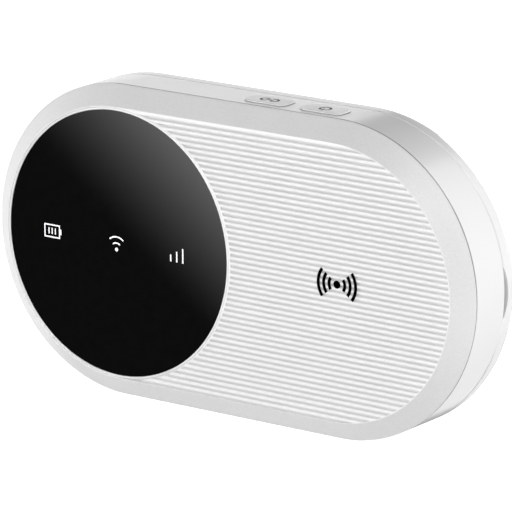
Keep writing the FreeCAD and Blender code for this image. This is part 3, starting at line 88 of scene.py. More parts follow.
# grooves in the face
GROOVE_COUNT = 49
GROOVE_PITCH = 1.0635
GROOVE_SHIFT = -0.27
GROOVE_DEEP = 0.3
GROOVE_FLOOR = 0.03
GROOVE_SHOULDER = 0.38
LAND_AT_LENS = 0.3
LAND_AT_BEVEL = 0.03
GROOVE_TIP = 0.16
ROW_GAP = 0.02
ROW_SPANS = 12

# lens, its ring and the emblem
LENS_X = -HALF_STRAIGHT
LENS_RADIUS = round((LENS_HIGH.z - LENS_LOW.z) / 2 / MM, 2)
RING_OUTER = round((RING_HIGH.z - RING_LOW.z) / 2 / MM, 2)
RING_INNER = LENS_RADIUS + 0.05
RING_BACK = RING_HIGH.y / MM - FRONT_Y
RING_PROUD = 0.02
RING_INNER_ROUND = 0.12
RING_OUTER_ROUND = 0.16
SEAT_RADIUS = RING_OUTER + 0.05
EMBLEM_X = (EMBLEM_LOW.x + EMBLEM_HIGH.x) / 2 / MM
EMBLEM_RADIUS = (EMBLEM_HIGH.x - EMBLEM_LOW.x) / 2 / MM
EMBLEM_STROKE = 0.62
EMBLEM_ARCS = 3
EMBLEM_STEP = 1.2
EMBLEM_HALF_ANGLE = math.radians(38)
EMBLEM_DOT = 0.75
EMBLEM_PROUD = 0.05


# ---------------------------------------------------------------- meshes

def point(x, depth, rise):
    return Vector((x, depth + FRONT_Y, rise + MIDDLE_Z)) * MM


class Builder:
    """Collects the faces of one piece and makes it an object that rides on a body."""

    def __init__(self):
        self.mesh = bmesh.new()
        # each corner's share of painted shade, which darkens the grooved shell's colour
        self.painted_shade = self.mesh.verts.layers.float.new("painted_shade")

    def loop(self, places):
        return [self.mesh.verts.new(point(*place)) for place in places]

    def face(self, corners):
        if len(set(corners)) > 2:
            self.mesh.faces.new(corners)

    def strip(self, one, other, closed=True):
        """Quads between two loops with as many corners."""
        count = len(one) if closed else len(one) - 1
        for here in range(count):
            after = (here + 1) % len(one)
            self.face([one[here], one[after], other[after], other[here]])

    def cap(self, outer, holes=()):
        """A flat filled outline, with holes."""
        loops = [outer, *holes]
        corners = [corner for loop in loops for corner in loop]
        flat = [[Vector((v.co.x, v.co.z, 0)) for v in loop] for loop in loops]
        for triangle in tessellate_polygon(flat):
            self.face([corners[index] for index in triangle])

    def finish(self, name, body, nodes, slot, finish, sharp=30.0, weld=1e-7):
        """Clean the mesh, make the object and place it on its body."""
        bmesh.ops.remove_doubles(self.mesh, verts=self.mesh.verts, dist=weld)
        bmesh.ops.dissolve_degenerate(self.mesh, edges=self.mesh.edges, dist=weld)
        bmesh.ops.recalc_face_normals(self.mesh, faces=self.mesh.faces)
        data = bpy.data.meshes.new(name)
        self.mesh.to_mesh(data)
        self.mesh.free()
        data.shade_smooth()
        data.set_sharp_from_angle(angle=math.radians(sharp))
        data.materials.append(finish)
        made = bpy.data.objects.new(name, data)
        bpy.context.scene.collection.objects.link(made)
        weighted = made.modifiers.new("face_weighted_normals", "WEIGHTED_NORMAL")
        weighted.keep_sharp = True
        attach(made, body)
        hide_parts(*nodes)
        return made


def rounded(corners, steps=5):
    """A profile through (radius, depth, rounding) corners, with its roundings as short arcs."""
    path = []
    for index, (radius, depth, rounding) in enumerate(corners):
        here = Vector((radius, depth))
        if rounding == 0 or index in (0, len(corners) - 1):
            path.append(here)
            continue
        before = (Vector(corners[index - 1][:2]) - here).normalized()
        after = (Vector(corners[index + 1][:2]) - here).normalized()
        half = before.angle(after) / 2
        centre = here + (before + after).normalized() * (rounding / math.sin(half))
        start = here + before * (rounding / math.tan(half)) - centre
        turn = start.angle_signed(here + after * (rounding / math.tan(half)) - centre)
        for step in range(steps + 1):
            path.append(centre + Matrix.Rotation(-turn * step / steps, 2) @ start)
    return path


def circle(x, radius, depth, count=240):
    angles = [2 * math.pi * step / count for step in range(count)]
    return [(x + radius * math.cos(a), depth, radius * math.sin(a)) for a in angles]


def band(x, inner, outer, depth, start, end, steps=24):
    """The outline of a curved stroke."""
    angles = [start + (end - start) * step / steps for step in range(steps + 1)]
    there = [(x + outer * math.cos(a), depth, outer * math.sin(a)) for a in angles]
    back = [(x + inner * math.cos(a), depth, inner * math.sin(a)) for a in reversed(angles)]
    return there + back


# ---------------------------------------------------------------- front cover

FACE_RADIUS = END_RADIUS - BEVEL_WIDTH
FACE_TURN = math.atan2(BEVEL_DEEP, BEVEL_WIDTH)
FLAT_RADIUS = FACE_RADIUS - FACE_ROUND * math.tan(FACE_TURN / 2)
TOP_GROOVE = GROOVE_PITCH * (GROOVE_COUNT - 1) / 2


def groove_depth(rise):
    """Depth of the grooved face at a rise."""
    if abs(rise - GROOVE_SHIFT) > TOP_GROOVE + GROOVE_PITCH / 2:
        return 0.0
    offset = (rise - GROOVE_SHIFT + GROOVE_PITCH / 2) % GROOVE_PITCH - GROOVE_PITCH / 2
    wall = (abs(offset) - GROOVE_FLOOR) / (GROOVE_SHOULDER - GROOVE_FLOOR)
    return GROOVE_DEEP * (1 + math.cos(math.pi * min(max(wall, 0), 1))) / 2


def face_rows():
    """Rises at which the face has a row of points: dense over each groove, and by angle at the ends."""
    walls = [GROOVE_FLOOR + (GROOVE_SHOULDER - GROOVE_FLOOR) * share for share in (0, 0.25, 0.5, 0.75, 1)]
    offsets = sorted([-w for w in walls] + [0.0] + walls + [GROOVE_PITCH / 2])
    rows = {-FLAT_RADIUS, FLAT_RADIUS, -SEAT_RADIUS, SEAT_RADIUS}
    for index in range(GROOVE_COUNT):
        middle = GROOVE_SHIFT - TOP_GROOVE + index * GROOVE_PITCH
        rows.update(middle + offset for offset in offsets if abs(middle + offset) < SEAT_RADIUS - ROW_GAP)
    for degrees in range(76, 90, 2):
        rise = SEAT_RADIUS * math.sin(math.radians(degrees))
        if min(abs(rise - row) for row in rows) > ROW_GAP:
            rows.update((rise, -rise))
    return sorted(rows)


def face_columns():
    """Places along a row, as (share of the row, distance from that place)."""
    tips = [0.0, 0.33, 0.67, 1.0]
    left = [(0.0, 0.0)] + [(0.0, LAND_AT_LENS + GROOVE_TIP * tip) for tip in tips]
    right = [(1.0, -LAND_AT_BEVEL - GROOVE_TIP * tip) for tip in reversed(tips)] + [(1.0, 0.0)]
    return left + [(step / ROW_SPANS, 0.0) for step in range(1, ROW_SPANS)] + right


def fade(distance, land):
    """How much of its depth a groove has at a distance from its end."""
    share = min(max((distance - land) / GROOVE_TIP, 0), 1)
    return share * share * (3 - 2 * share)


def grooved_row(build, rise):
    """One row of the face, from the lens seat or the top of it to the bevel."""
    left = LENS_X + math.sqrt(max(SEAT_RADIUS ** 2 - rise ** 2, 0))
    right = HALF_STRAIGHT + math.sqrt(max(FLAT_RADIUS ** 2 - rise ** 2, 0))
    row = []
    for share, shift in face_columns():
        x = left + (right - left) * share + shift
        depth = groove_depth(rise) * fade(x - left, LAND_AT_LENS) * fade(right - x, LAND_AT_BEVEL)
        row.append((x, depth, rise))
    corners = build.loop(row)
    for corner, (x, depth, rise) in zip(corners, row):
        # painted shade: each corner takes the share of the groove's full depth that it lies at
        corner[build.painted_shade] = depth / GROOVE_DEEP
    return corners


def sweep_outline(radius, depth, rows, columns):
    """A racetrack through the face's own rows and columns, starting at the lower right."""
    turns = [math.asin(max(min(rise / FLAT_RADIUS, 1), -1)) for rise in rows]
    right = [(HALF_STRAIGHT + radius * math.cos(t), depth, radius * math.sin(t)) for t in turns]
    left = [(-HALF_STRAIGHT - radius * math.cos(t), depth, radius * math.sin(t)) for t in reversed(turns)]
    top = [(x, depth, radius) for x in reversed(columns)]
    bottom = [(x, depth, -radius) for x in columns]
    return right + top + left + bottom


def front_cover(finish):
    """The one moulding with the bevel and the grooved face, open at the seat of the lens."""
    build = Builder()
    rows = face_rows()
    grid = [grooved_row(build, rise) for rise in rows]
    for low, high in zip(grid, grid[1:]):
        build.strip(low, high, closed=False)
    columns = [corner.co.x / MM for corner in grid[-1][1:-1]]

    profile = rounded([
        (FLAT_RADIUS - 1, 0, 0),
        (FACE_RADIUS, 0, FACE_ROUND),
        (END_RADIUS, BEVEL_DEEP, WALL_ROUND),
        (END_RADIUS, SEAM_FRONT, EDGE_ROUND),
        (LIP_OUTER, SEAM_FRONT, 0),
        (LIP_OUTER, LIP_BACK, 0),
        (LIP_OUTER - LIP_WALL, LIP_BACK, 0),
        (LIP_OUTER - LIP_WALL, FLOOR_BACK, 0),
    ])[1:]
    loops = [build.loop(sweep_outline(radius, depth, rows, columns)) for radius, depth in profile]
    for one, other in zip(loops, loops[1:]):
        build.strip(one, other)
    # painted shade on the corners along the seam behind the bevel, none on the bevel and the face
    for loop, (radius, depth) in zip(loops, profile):
        for corner in loop:
            corner[build.painted_shade] = SEAM_SHADE if depth >= SEAM_FRONT - EDGE_ROUND / 2 else 0

    # flat crescent left of the lens, then the seat's wall and floor
    turns = [math.asin(max(min(rise / FLAT_RADIUS, 1), -1)) for rise in rows]
    crescent = build.loop([
        (LENS_X - SEAT_RADIUS * math.cos(t), 0, SEAT_RADIUS * math.sin(t)) for t in turns
    ])
    edge = build.loop([
        (LENS_X - FLAT_RADIUS * math.cos(t), 0, FLAT_RADIUS * math.sin(t)) for t in turns
    ])
    build.strip(crescent, edge, closed=False)
    inner_rows = [rise for rise in rows if abs(rise) <= SEAT_RADIUS]
    right_side = [(LENS_X + math.sqrt(max(SEAT_RADIUS ** 2 - rise ** 2, 0)), rise) for rise in inner_rows]
    left_side = [
        (LENS_X - SEAT_RADIUS * math.cos(t), SEAT_RADIUS * math.sin(t)) for t in reversed(turns[1:-1])
    ]
    seat = [(x, rise) for x, rise in right_side + left_side]
    mouth = build.loop([(x, 0, rise) for x, rise in seat])
    foot = build.loop([(x, FLOOR_FRONT, rise) for x, rise in seat])
    build.strip(mouth, foot)

    # holes for the light guides, through the floor
    front_holes = []
    back_holes = []
    for low, high in guide_boxes():
        corners = [(low.x, low.z), (high.x, low.z), (high.x, high.z), (low.x, high.z)]
        front = build.loop([(x / MM, FLOOR_FRONT, z / MM - MIDDLE_Z) for x, z in corners])
        back = build.loop([(x / MM, FLOOR_BACK, z / MM - MIDDLE_Z) for x, z in corners])
        build.strip(front, back)
        front_holes.append(front)
        back_holes.append(back)
    build.cap(foot, front_holes)
    build.cap(loops[-1], back_holes)
    return build.finish("front_cover_shell", "case", ["front_cover"], "shell_white", finish, sharp=38)


def guide_boxes():
    """Boxes of the separate light guides, found in their node's mesh, a little larger than each."""
    mesh = bmesh.new()
    mesh.from_mesh(frame["nodes"]["light_guides"].data)
    places = sorted((v.co.copy() for v in mesh.verts), key=lambda place: place.x)
    mesh.free()
    groups = [[places[0]]]
    for before, place in zip(places, places[1:]):
        if place.x - before.x > GUIDE_APART * MM:
            groups.append([])
        groups[-1].append(place)
    gap = Vector((GUIDE_GAP, 0, GUIDE_GAP)) * MM
    return [
        (
            Vector(min(p[axis] for p in group) for axis in range(3)) - gap,
            Vector(max(p[axis] for p in group) for axis in range(3)) + gap,
        )
        for group in groups
    ]


def lens_ring(finish):
    """The thin bright lip round the lens, with a rounded front edge."""
    build = Builder()
    profile = rounded([
        (RING_INNER, RING_BACK, 0),
        (RING_INNER, -RING_PROUD, RING_INNER_ROUND),
        (RING_OUTER, -RING_PROUD, RING_OUTER_ROUND),
        (RING_OUTER, RING_BACK, 0),
    ])
    loops = [build.loop(circle(LENS_X, radius, depth)) for radius, depth in profile]
    for one, other in zip(loops, loops[1:]):
        build.strip(one, other)
    build.strip(loops[-1], loops[0])
    return build.finish("lens_lip", "case", ["lens_ring"], "ring_white", finish)


def emblem(finish):
    """A dot between two sets of arcs, standing a hair proud of the ribs."""
    build = Builder()
    outlines = [circle(EMBLEM_X, EMBLEM_DOT, 0, count=48)]
    for index in range(EMBLEM_ARCS):
        outer = EMBLEM_RADIUS - index * EMBLEM_STEP
        for middle in (0, math.pi):
            start, end = middle - EMBLEM_HALF_ANGLE, middle + EMBLEM_HALF_ANGLE
            outlines.append(band(EMBLEM_X, outer - EMBLEM_STROKE, outer, 0, start, end))
    for outline in outlines:
        front = build.loop([(x, -EMBLEM_PROUD, rise) for x, depth, rise in outline])
        back = build.loop([(x, 0, rise) for x, depth, rise in outline])
        build.strip(front, back)
        build.cap(front)
        build.cap(back)
    return build.finish("emblem_arcs", "case", ["hotspot_emblem"], "emblem_black", finish)


# ---------------------------------------------------------------- materials

# noise mostly lies between these two values
NOISE_LOW = 0.3
NOISE_HIGH = 0.7
SHELL_SPECKLE = 0.24
WALL_SPECKLE = 0.03

# painted shade beside the joints of the side wall and round the keys, in metres
FRONT_JOINT_Y = FRAME_LOW.y
REAR_JOINT_Y = FRAME_HIGH.y + 0.05 * MM
REAR_JOINT_FADE = 0.22 * MM
WALL_TOP_Z = FRAME_HIGH.z
FRAME_REACH = 0.32 * MM
KEY_REACH = 0.12 * MM
FULL_SHADE_SHARE = 0.4


class Finish:
    """A material whose nodes are added one by one."""

    def __init__(self, name, metallic=0.0, ior=1.47, coat=0.0, specular=0.5):
        self.made = bpy.data.materials.new(name)
        self.made.use_nodes = True
        self.tree = self.made.node_tree
        self.shader = self.tree.nodes["Principled BSDF"]
        self.shader.inputs["Metallic"].default_value = metallic
        self.shader.inputs["IOR"].default_value = ior
        self.shader.inputs["Coat Weight"].default_value = coat
        self.shader.inputs["Specular IOR Level"].default_value = specular
        self.place = self.tree.nodes.new("ShaderNodeTexCoord").outputs["Object"]

    def add(self, kind, **settings):
        node = self.tree.nodes.new(kind)
        for name, value in settings.items():
            setattr(node, name, value)
        return node

    def link(self, output, target):
        self.tree.links.new(output, target)

    def noise(self, size_mm, detail=2.0, place=None):
        """Noise whose patches are about size_mm across."""
        node = self.add("ShaderNodeTexNoise")
        node.inputs["Scale"].default_value = 1 / (size_mm * MM)
        node.inputs["Detail"].default_value = detail
        self.link(place or self.place, node.inputs["Vector"])
        return node.outputs["Fac"]

    def spread(self, factor, low, high):
        """A factor's middle range stretched to run from low to high."""
        node = self.add("ShaderNodeMapRange")
        node.inputs["From Min"].default_value = NOISE_LOW
        node.inputs["From Max"].default_value = NOISE_HIGH
        node.inputs["To Min"].default_value = low
        node.inputs["To Max"].default_value = high
        self.link(factor, node.inputs["Value"])
        return node.outputs["Result"]

    def colour(self, factor, dark, light):
        node = self.add("ShaderNodeMix", data_type="RGBA")
        node.inputs["A"].default_value = (*dark, 1)
        node.inputs["B"].default_value = (*light, 1)
        self.link(factor, node.inputs["Factor"])
        colour = [output for output in node.outputs if output.type == "RGBA"][0]
        self.link(colour, self.shader.inputs["Base Color"])

    def roughness(self, factor, low, high):
        self.link(self.spread(factor, low, high), self.shader.inputs["Roughness"])

    def bump(self, height, deep_mm):
        node = self.add("ShaderNodeBump")
        node.inputs["Distance"].default_value = deep_mm * MM
        self.link(height, node.inputs["Height"])
        self.link(node.outputs["Normal"], self.shader.inputs["Normal"])


def grey(value):
    return (value, value, value)


def moulded(name, colour, rough=(0.4, 0.5), grain=0.18, grain_deep=0.003, vary=0.02, wave=6.0, **kind):
    """Moulded plastic: fine grain, a slow waviness, and a slight change of tone."""
    finish = Finish(name, **kind)
    fine = finish.noise(grain, 3)
    slow = finish.noise(wave, 2)
    dark = tuple(max(channel * (1 - vary), 0) for channel in colour)
    finish.colour(finish.spread(fine, 0, 1), dark, colour)
    finish.roughness(slow, *rough)
    finish.bump(fine, grain_deep)
    return finish.made


def shell_white():
    """Grained white plastic with painted shade: a little darker down in the grooves and along the seam
    behind the bevel.
    """
    finish = Finish("grained_white_shell")
    fine = finish.noise(0.3, 3)
    slow = finish.noise(6, 2)
    painted_shade = finish.add("ShaderNodeAttribute", attribute_name="painted_shade").outputs["Fac"]
    speckle_and_painted_shade = finish.add("ShaderNodeMath", operation="MULTIPLY_ADD")
    speckle_and_painted_shade.inputs[1].default_value = SHELL_SPECKLE
    finish.link(finish.spread(fine, 0, 1), speckle_and_painted_shade.inputs[0])
    finish.link(painted_shade, speckle_and_painted_shade.inputs[2])
    # the grain's speckle and the painted shade both mix the white towards the darker grey
    finish.colour(speckle_and_painted_shade.outputs["Value"], grey(0.93), grey(0.68))
    finish.roughness(slow, 0.36, 0.44)
    finish.bump(fine, 0.012)
    return finish.made


def shaded_plastic(name, colour, rough, ior, measure, reach):
    """White plastic with painted shade, darker where a measured distance falls under the reach of a joint.
    """
    finish = Finish(name, ior=ior)
    fine = finish.noise(0.15, 3)
    slow = finish.noise(6, 2)
    joint = finish.add("ShaderNodeMapRange")
    joint.inputs["From Min"].default_value = reach
    joint.inputs["From Max"].default_value = reach * FULL_SHADE_SHARE
    finish.link(measure(finish), joint.inputs["Value"])
    shaded = finish.add("ShaderNodeMath", operation="MULTIPLY_ADD")
    shaded.inputs[1].default_value = WALL_SPECKLE
    finish.link(finish.spread(fine, 0, 1), shaded.inputs[0])
    finish.link(joint.outputs["Result"], shaded.inputs[2])
    # grey(0.3) is the painted shade at a joint; the grain speckles the rest a little
    finish.colour(shaded.outputs["Value"], colour, grey(0.3))
    finish.roughness(slow, *rough)
    finish.bump(fine, 0.0015)
    return finish.made


def distance_from_joints(finish):
    """How far a point of the side wall lies from the front joint, or a little more from the rear one."""
    parts = finish.add("ShaderNodeSeparateXYZ")
    finish.link(finish.place, parts.inputs["Vector"])
    nearest = finish.add("ShaderNodeMath", operation="MINIMUM")
    for index, (joint, extra) in enumerate(((FRONT_JOINT_Y, 0), (REAR_JOINT_Y, REAR_JOINT_FADE))):
        apart = finish.add("ShaderNodeMath", operation="SUBTRACT")
        apart.inputs[1].default_value = joint
        finish.link(parts.outputs["Y"], apart.inputs[0])
        size = finish.add("ShaderNodeMath", operation="ABSOLUTE")
        finish.link(apart.outputs["Value"], size.inputs[0])
        total = finish.add("ShaderNodeMath", operation="ADD")
        total.inputs[1].default_value = extra
        finish.link(size.outputs["Value"], total.inputs[0])
        finish.link(total.outputs["Value"], nearest.inputs[index])
    return nearest.outputs["Value"]


def height_over_wall(finish):
    """How far a point of a key lies above the wall round it."""
    parts = finish.add("ShaderNodeSeparateXYZ")
    finish.link(finish.place, parts.inputs["Vector"])
    height = finish.add("ShaderNodeMath", operation="SUBTRACT")
    height.inputs[1].default_value = WALL_TOP_Z
    finish.link(parts.outputs["Z"], height.inputs[0])
    return height.outputs["Value"]


# satin white frame with painted shade beside its front and rear joints
def frame_white():
    rough = (0.2, 0.26)
    return shaded_plastic("satin_white_frame", grey(0.89), rough, 1.75, distance_from_joints, FRAME_REACH)


# satin white keys with painted shade on their sides below the top of the wall
def key_white():
    rough = (0.28, 0.36)
    return shaded_plastic("satin_white_key", grey(0.9), rough, 1.6, height_over_wall, KEY_REACH)


def lens_black():
    return moulded(
        "gloss_black_lens", (0.0056, 0.0056, 0.0058), rough=(0.02, 0.04), grain=2.0, grain_deep=0.00005,
        vary=0.2, wave=18, ior=1.5,
    )


def icon_white():
    finish = Finish("lit_white_icon")
    glow = finish.noise(0.6)
    finish.colour(finish.spread(glow, 0, 1), grey(0.9), grey(1.0))
    finish.shader.inputs["Emission Color"].default_value = (1, 1, 1, 1)
    finish.shader.inputs["Emission Strength"].default_value = 0.3
    finish.shader.inputs["Roughness"].default_value = 0.4
    return finish.made


def brushed_metal(name, colour, rough=(0.22, 0.36), grain=0.12, grain_deep=0.002):
    """Bare metal with a drawn grain along the case."""
    finish = Finish(name, metallic=1.0)
    stretch = finish.add("ShaderNodeMapping")
    stretch.inputs["Scale"].default_value = (0.08, 1, 1)
    finish.link(finish.place, stretch.inputs["Vector"])
    drawn = finish.noise(grain, 3, stretch.outputs["Vector"])
    blotch = finish.noise(1.6, 2)
    finish.colour(finish.spread(blotch, 0, 1), tuple(channel * 0.86 for channel in colour), colour)
    finish.roughness(drawn, *rough)
    finish.bump(drawn, grain_deep)
    return finish.made


FINISHES = {
    "shell_white": shell_white,
    "frame_white": frame_white,
    "key_white": key_white,
    "lens_black": lens_black,
    "ring_white": lambda: moulded("gloss_white_lip", grey(0.95), (0.16, 0.22), 0.3, 0.0005, 0.01),
    "icon_white": icon_white,
    "emblem_black": lambda: moulded("black_print", grey(0.0015), (0.6, 0.7), 0.2, 0.002, 0.3, specular=0.0),
    "legend_grey": lambda: moulded("grey_print", grey(0.03), (0.5, 0.6), 0.12, 0.002, 0.25, specular=0.2),
    "guide_clear": lambda: moulded("clear_guide", grey(0.85), (0.1, 0.16), 0.6, 0.0005, 0.02),
    "led_white": lambda: moulded("led_resin", (0.95, 0.9, 0.62), (0.25, 0.35), 0.3, 0.001, 0.08),
    "chassis_grey": lambda: moulded("grey_chassis", grey(0.16), (0.5, 0.62), 0.25, 0.006, 0.12),
    "screw_steel": lambda: brushed_metal("screw_steel", grey(0.62)),
    "label_paper": lambda: moulded("label_paper", (0.86, 0.86, 0.84), (0.55, 0.7), 0.35, 0.003, 0.04),
    "board_green": lambda: moulded("solder_mask_green", (0.012, 0.1, 0.04), (0.25, 0.4), 0.5, 0.004, 0.35),
    "shield_tin": lambda: brushed_metal("tinned_shield", grey(0.74), (0.28, 0.42)),
    "chip_black": lambda: moulded("chip_epoxy", grey(0.03), (0.5, 0.65), 0.1, 0.003, 0.3),
    "thermal_grey": lambda: moulded("thermal_pad", (0.34, 0.38, 0.44), (0.75, 0.9), 0.3, 0.01, 0.15),
    "passive_tan": lambda: moulded("ceramic_tan", (0.42, 0.28, 0.15), (0.4, 0.55), 0.2, 0.003, 0.25),
    "port_steel": lambda: brushed_metal("port_steel", grey(0.66), (0.2, 0.32)),
    "port_black": lambda: moulded("port_black", grey(0.02), (0.4, 0.5), 0.15, 0.003, 0.3),
    "contact_gold": lambda: brushed_metal("gold_contact", (0.83, 0.62, 0.24), (0.2, 0.3)),
    "card_white": lambda: moulded("card_white", grey(0.85), (0.35, 0.45), 0.3, 0.002, 0.03),
    "battery_grey": lambda: moulded("battery_case", grey(0.1), (0.42, 0.55), 0.2, 0.005, 0.2),
    "battery_wrap": lambda: moulded("battery_wrap", (0.62, 0.64, 0.66), (0.3, 0.42), 0.4, 0.003, 0.05),
    "switch_black": lambda: moulded("switch_black", grey(0.03), (0.45, 0.6), 0.15, 0.003, 0.25),
    "plunger_white": lambda: moulded("plunger_white", grey(0.8), (0.4, 0.5), 0.2, 0.002, 0.04),
    "carrier_white": lambda: moulded("carrier_white", grey(0.78), (0.45, 0.55), 0.25, 0.004, 0.05),
    "trace_copper": lambda: brushed_metal("trace_copper", (0.72, 0.38, 0.2), (0.25, 0.4)),
}


def node_slots():
    """The record's slot of each CAD node."""
    return {part["node"]: part["material_slot"] for part in frame["record"]["subparts"]}


# ---------------------------------------------------------------- stage

# angles in radians, distances in metres, the lens in millimetres
CAMERA_AZIMUTH = 0.634909
CAMERA_RISE = 0.260780
CAMERA_ROLL = -0.006136
CAMERA_FAR = 0.88797
CAMERA_LENS = 341.56
CAMERA_TARGET = Vector((0.007869, -0.0081, 0.032582))


def direction(azimuth, elevation):
    flat = math.cos(elevation)
    return Vector((math.sin(azimuth) * flat, -math.cos(azimuth) * flat, math.sin(elevation)))


def camera():
    back = direction(CAMERA_AZIMUTH, CAMERA_RISE)
    right = (-back).cross(Vector((0, 0, 1))).normalized()
    up = right.cross(-back)
    across = math.cos(CAMERA_ROLL) * right + math.sin(CAMERA_ROLL) * up
    upright = math.cos(CAMERA_ROLL) * up - math.sin(CAMERA_ROLL) * right
    data = bpy.data.cameras.new("camera")
    data.lens = CAMERA_LENS
    data.clip_start = 0.05
    data.clip_end = 30
    made = bpy.data.objects.new("camera", data)
    turn = Matrix((across, upright, back)).transposed().to_4x4()
    made.matrix_world = Matrix.Translation(CAMERA_TARGET + back * CAMERA_FAR) @ turn
    bpy.context.scene.collection.objects.link(made)
    bpy.context.scene.camera = made


FLOOR_GLOW = 0.8
FLOOR_HALF = 6.0
BACKDROP_RADIUS = 9.0
AMBIENT = 0.03

# kinds of rays that a thing which lights nothing is hidden from
UNLIT = ("diffuse", "transmission", "volume_scatter", "shadow")


def square(centre, across, up, half):
    """The corners of a square, in order round it."""
    signs = ((-1, -1), (1, -1), (1, 1), (-1, 1))
    return [tuple(centre + across * a * half + up * b * half) for a, b in signs]


def staged(name, data, finish, hidden_from):
    """One thing of the stage, hidden from some kinds of rays."""
    data.materials.append(finish)
    made = bpy.data.objects.new(name, data)
    for kind in hidden_from:
        setattr(made, "visible_" + kind, False)
    bpy.context.scene.collection.objects.link(made)


def glowing(name, strength):
    """An even white glow that reflects nothing."""
    finish = Finish(name, specular=0.0)
    finish.shader.inputs["Base Color"].default_value = (0, 0, 0, 1)
    finish.shader.inputs["Emission Color"].default_value = (1, 1, 1, 1)
    finish.shader.inputs["Emission Strength"].default_value = strength
    return finish.made


def floor():
    """A wide pale floor that the case stands on."""
    data = bpy.data.meshes.new("floor")
    corners = square(Vector((0, 0, 0)), Vector((1, 0, 0)), Vector((0, 1, 0)), FLOOR_HALF)
    data.from_pydata(corners, [], [(0, 1, 2, 3)])
    finish = Finish("pale_floor", specular=0.0)
    tone = finish.noise(40)
    finish.colour(finish.spread(tone, 0, 1), grey(0.9), grey(0.92))
    finish.shader.inputs["Roughness"].default_value = 0.8
    finish.shader.inputs["Emission Color"].default_value = (1, 1, 1, 1)
    finish.shader.inputs["Emission Strength"].default_value = FLOOR_GLOW
    staged("floor", data, finish.made, ("glossy", "diffuse", "shadow"))


# azimuth and elevation of each soft lamp in degrees, and its strength;
# azimuth 0 is in front, and 90 is off the right end
LAMP_SPREAD = math.radians(36)
LAMPS = [
    (-75, 0, 0.48),
    (110, 0, 1.42),
    (-60, -28, 1.75),
    (60, -28, 0.95),
    (-100, 32, 0.26),
    (20, 32, 1.6),
    (100, 32, 0.3),
    (180, 8, 1.7),
]


def lamp(azimuth, elevation, strength):
    data = bpy.data.lights.new("lamp", "SUN")
    data.energy = strength
    data.angle = LAMP_SPREAD
    made = bpy.data.objects.new("lamp", data)
    made.rotation_mode = "QUATERNION"
    towards = direction(math.radians(azimuth), math.radians(elevation))
    made.rotation_quaternion = towards.to_track_quat("Z", "Y")
    bpy.context.scene.collection.objects.link(made)


def surroundings():
    """Even light from all round, soft lamps, and a white backdrop that only the camera sees."""
    world = bpy.data.worlds.new("room")
    bpy.context.scene.world = world
    world.use_nodes = True
    background = world.node_tree.nodes["Background"]
    background.inputs["Color"].default_value = (1, 1, 1, 1)
    background.inputs["Strength"].default_value = AMBIENT
    for azimuth, elevation, strength in LAMPS:
        lamp(azimuth, elevation, strength)

    data = bpy.data.meshes.new("backdrop")
    ball = bmesh.new()
    bmesh.ops.create_icosphere(ball, subdivisions=3, radius=BACKDROP_RADIUS)
    ball.to_mesh(data)
    ball.free()
    staged("backdrop", data, glowing("backdrop_white", 1.0), (*UNLIT, "glossy"))


# the screen's sectors in degrees, from +X towards +Z
SCREEN_GLOW = 1.35
SCREEN_Y = 2
SCREEN_RADIUS = 12
SCREEN_STEP = 5
SCREEN_SECTORS = ((-125, 80), (140, 215))


def rear_screen():
    """White sectors of a disc behind the case, which only reflections see."""
    data = bpy.data.meshes.new("screen")
    corners = [(0, SCREEN_Y, 0)]
    faces = []
    for start, end in SCREEN_SECTORS:
        first = len(corners)
        for degrees in range(start, end + 1, SCREEN_STEP):
            turn = math.radians(degrees)
            corners.append((SCREEN_RADIUS * math.cos(turn), SCREEN_Y, SCREEN_RADIUS * math.sin(turn)))
        faces += [(0, index, index + 1) for index in range(first, len(corners) - 1)]
    data.from_pydata(corners, [], faces)
    staged("screen", data, glowing("screen_white", SCREEN_GLOW), (*UNLIT, "camera"))


# the card that shows as a glow on the lens: its distance and half side in metres, the line along
# which its glow is even, and where the glow starts and ends in radii of the lens
CARD_FAR = 0.3
CARD_HALF = 0.25
CARD_LINE = Vector((0.783, 0, -0.621))
CARD_START = -0.12
CARD_END = 1.3
CARD_CURVE = 1.8
CARD_GLOW = 4.6


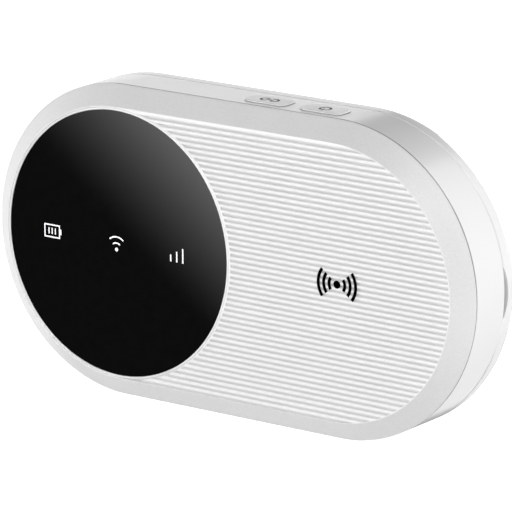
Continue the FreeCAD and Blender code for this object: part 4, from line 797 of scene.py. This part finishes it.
def card_finish(rising, middle):
    """A glow that grows along one direction through the middle of the card."""
    finish = bpy.data.materials.new("glow_card")
    finish.use_nodes = True
    tree = finish.node_tree
    tree.nodes.remove(tree.nodes["Principled BSDF"])
    place = tree.nodes.new("ShaderNodeNewGeometry")
    dot = tree.nodes.new("ShaderNodeVectorMath")
    dot.operation = "DOT_PRODUCT"
    dot.inputs[1].default_value = rising
    tree.links.new(place.outputs["Position"], dot.inputs[0])
    spread = tree.nodes.new("ShaderNodeMapRange")
    zero = rising.dot(middle)
    span = LENS_RADIUS * MM * (CAMERA_FAR + CARD_FAR) / CAMERA_FAR
    spread.inputs["From Min"].default_value = zero + CARD_START * span
    spread.inputs["From Max"].default_value = zero + CARD_END * span
    spread.inputs["To Max"].default_value = CARD_END
    tree.links.new(dot.outputs["Value"], spread.inputs["Value"])
    value = spread.outputs["Result"]
    for operation, amount in (("POWER", CARD_CURVE), ("MULTIPLY", CARD_GLOW)):
        step = tree.nodes.new("ShaderNodeMath")
        step.operation = operation
        step.inputs[1].default_value = amount
        tree.links.new(value, step.inputs[0])
        value = step.outputs["Value"]
    glow = tree.nodes.new("ShaderNodeEmission")
    tree.links.new(value, glow.inputs["Strength"])
    tree.links.new(glow.outputs["Emission"], tree.nodes["Material Output"].inputs["Surface"])
    return finish


def lens_glow():
    """A card that only reflections see: dark at one corner and bright at the other."""
    centre = (LENS_LOW + LENS_HIGH) / 2
    centre.y = LENS_LOW.y
    away = direction(CAMERA_AZIMUTH, CAMERA_RISE)
    mirrored = Vector((-away.x, away.y, -away.z))
    rising = mirrored.cross(CARD_LINE).normalized()
    if rising.z < 0:
        rising = -rising
    across = rising.cross(mirrored)
    middle = centre + mirrored * CARD_FAR
    data = bpy.data.meshes.new("glow_card")
    data.from_pydata(square(middle, across, rising, CARD_HALF), [], [(0, 1, 2, 3)])
    staged("glow_card", data, card_finish(rising, middle), (*UNLIT, "camera"))


# ---------------------------------------------------------------- the whole scene

finishes = {slot: make() for slot, make in FINISHES.items()}
for node, slot in node_slots().items():
    mesh = frame["nodes"][node].data
    mesh.materials.clear()
    mesh.materials.append(finishes[slot])
front_cover(finishes["shell_white"])
lens_ring(finishes["ring_white"])
emblem(finishes["emblem_black"])
camera()
floor()
surroundings()
rear_screen()
lens_glow()
bpy.context.scene.view_settings.view_transform = "Standard"
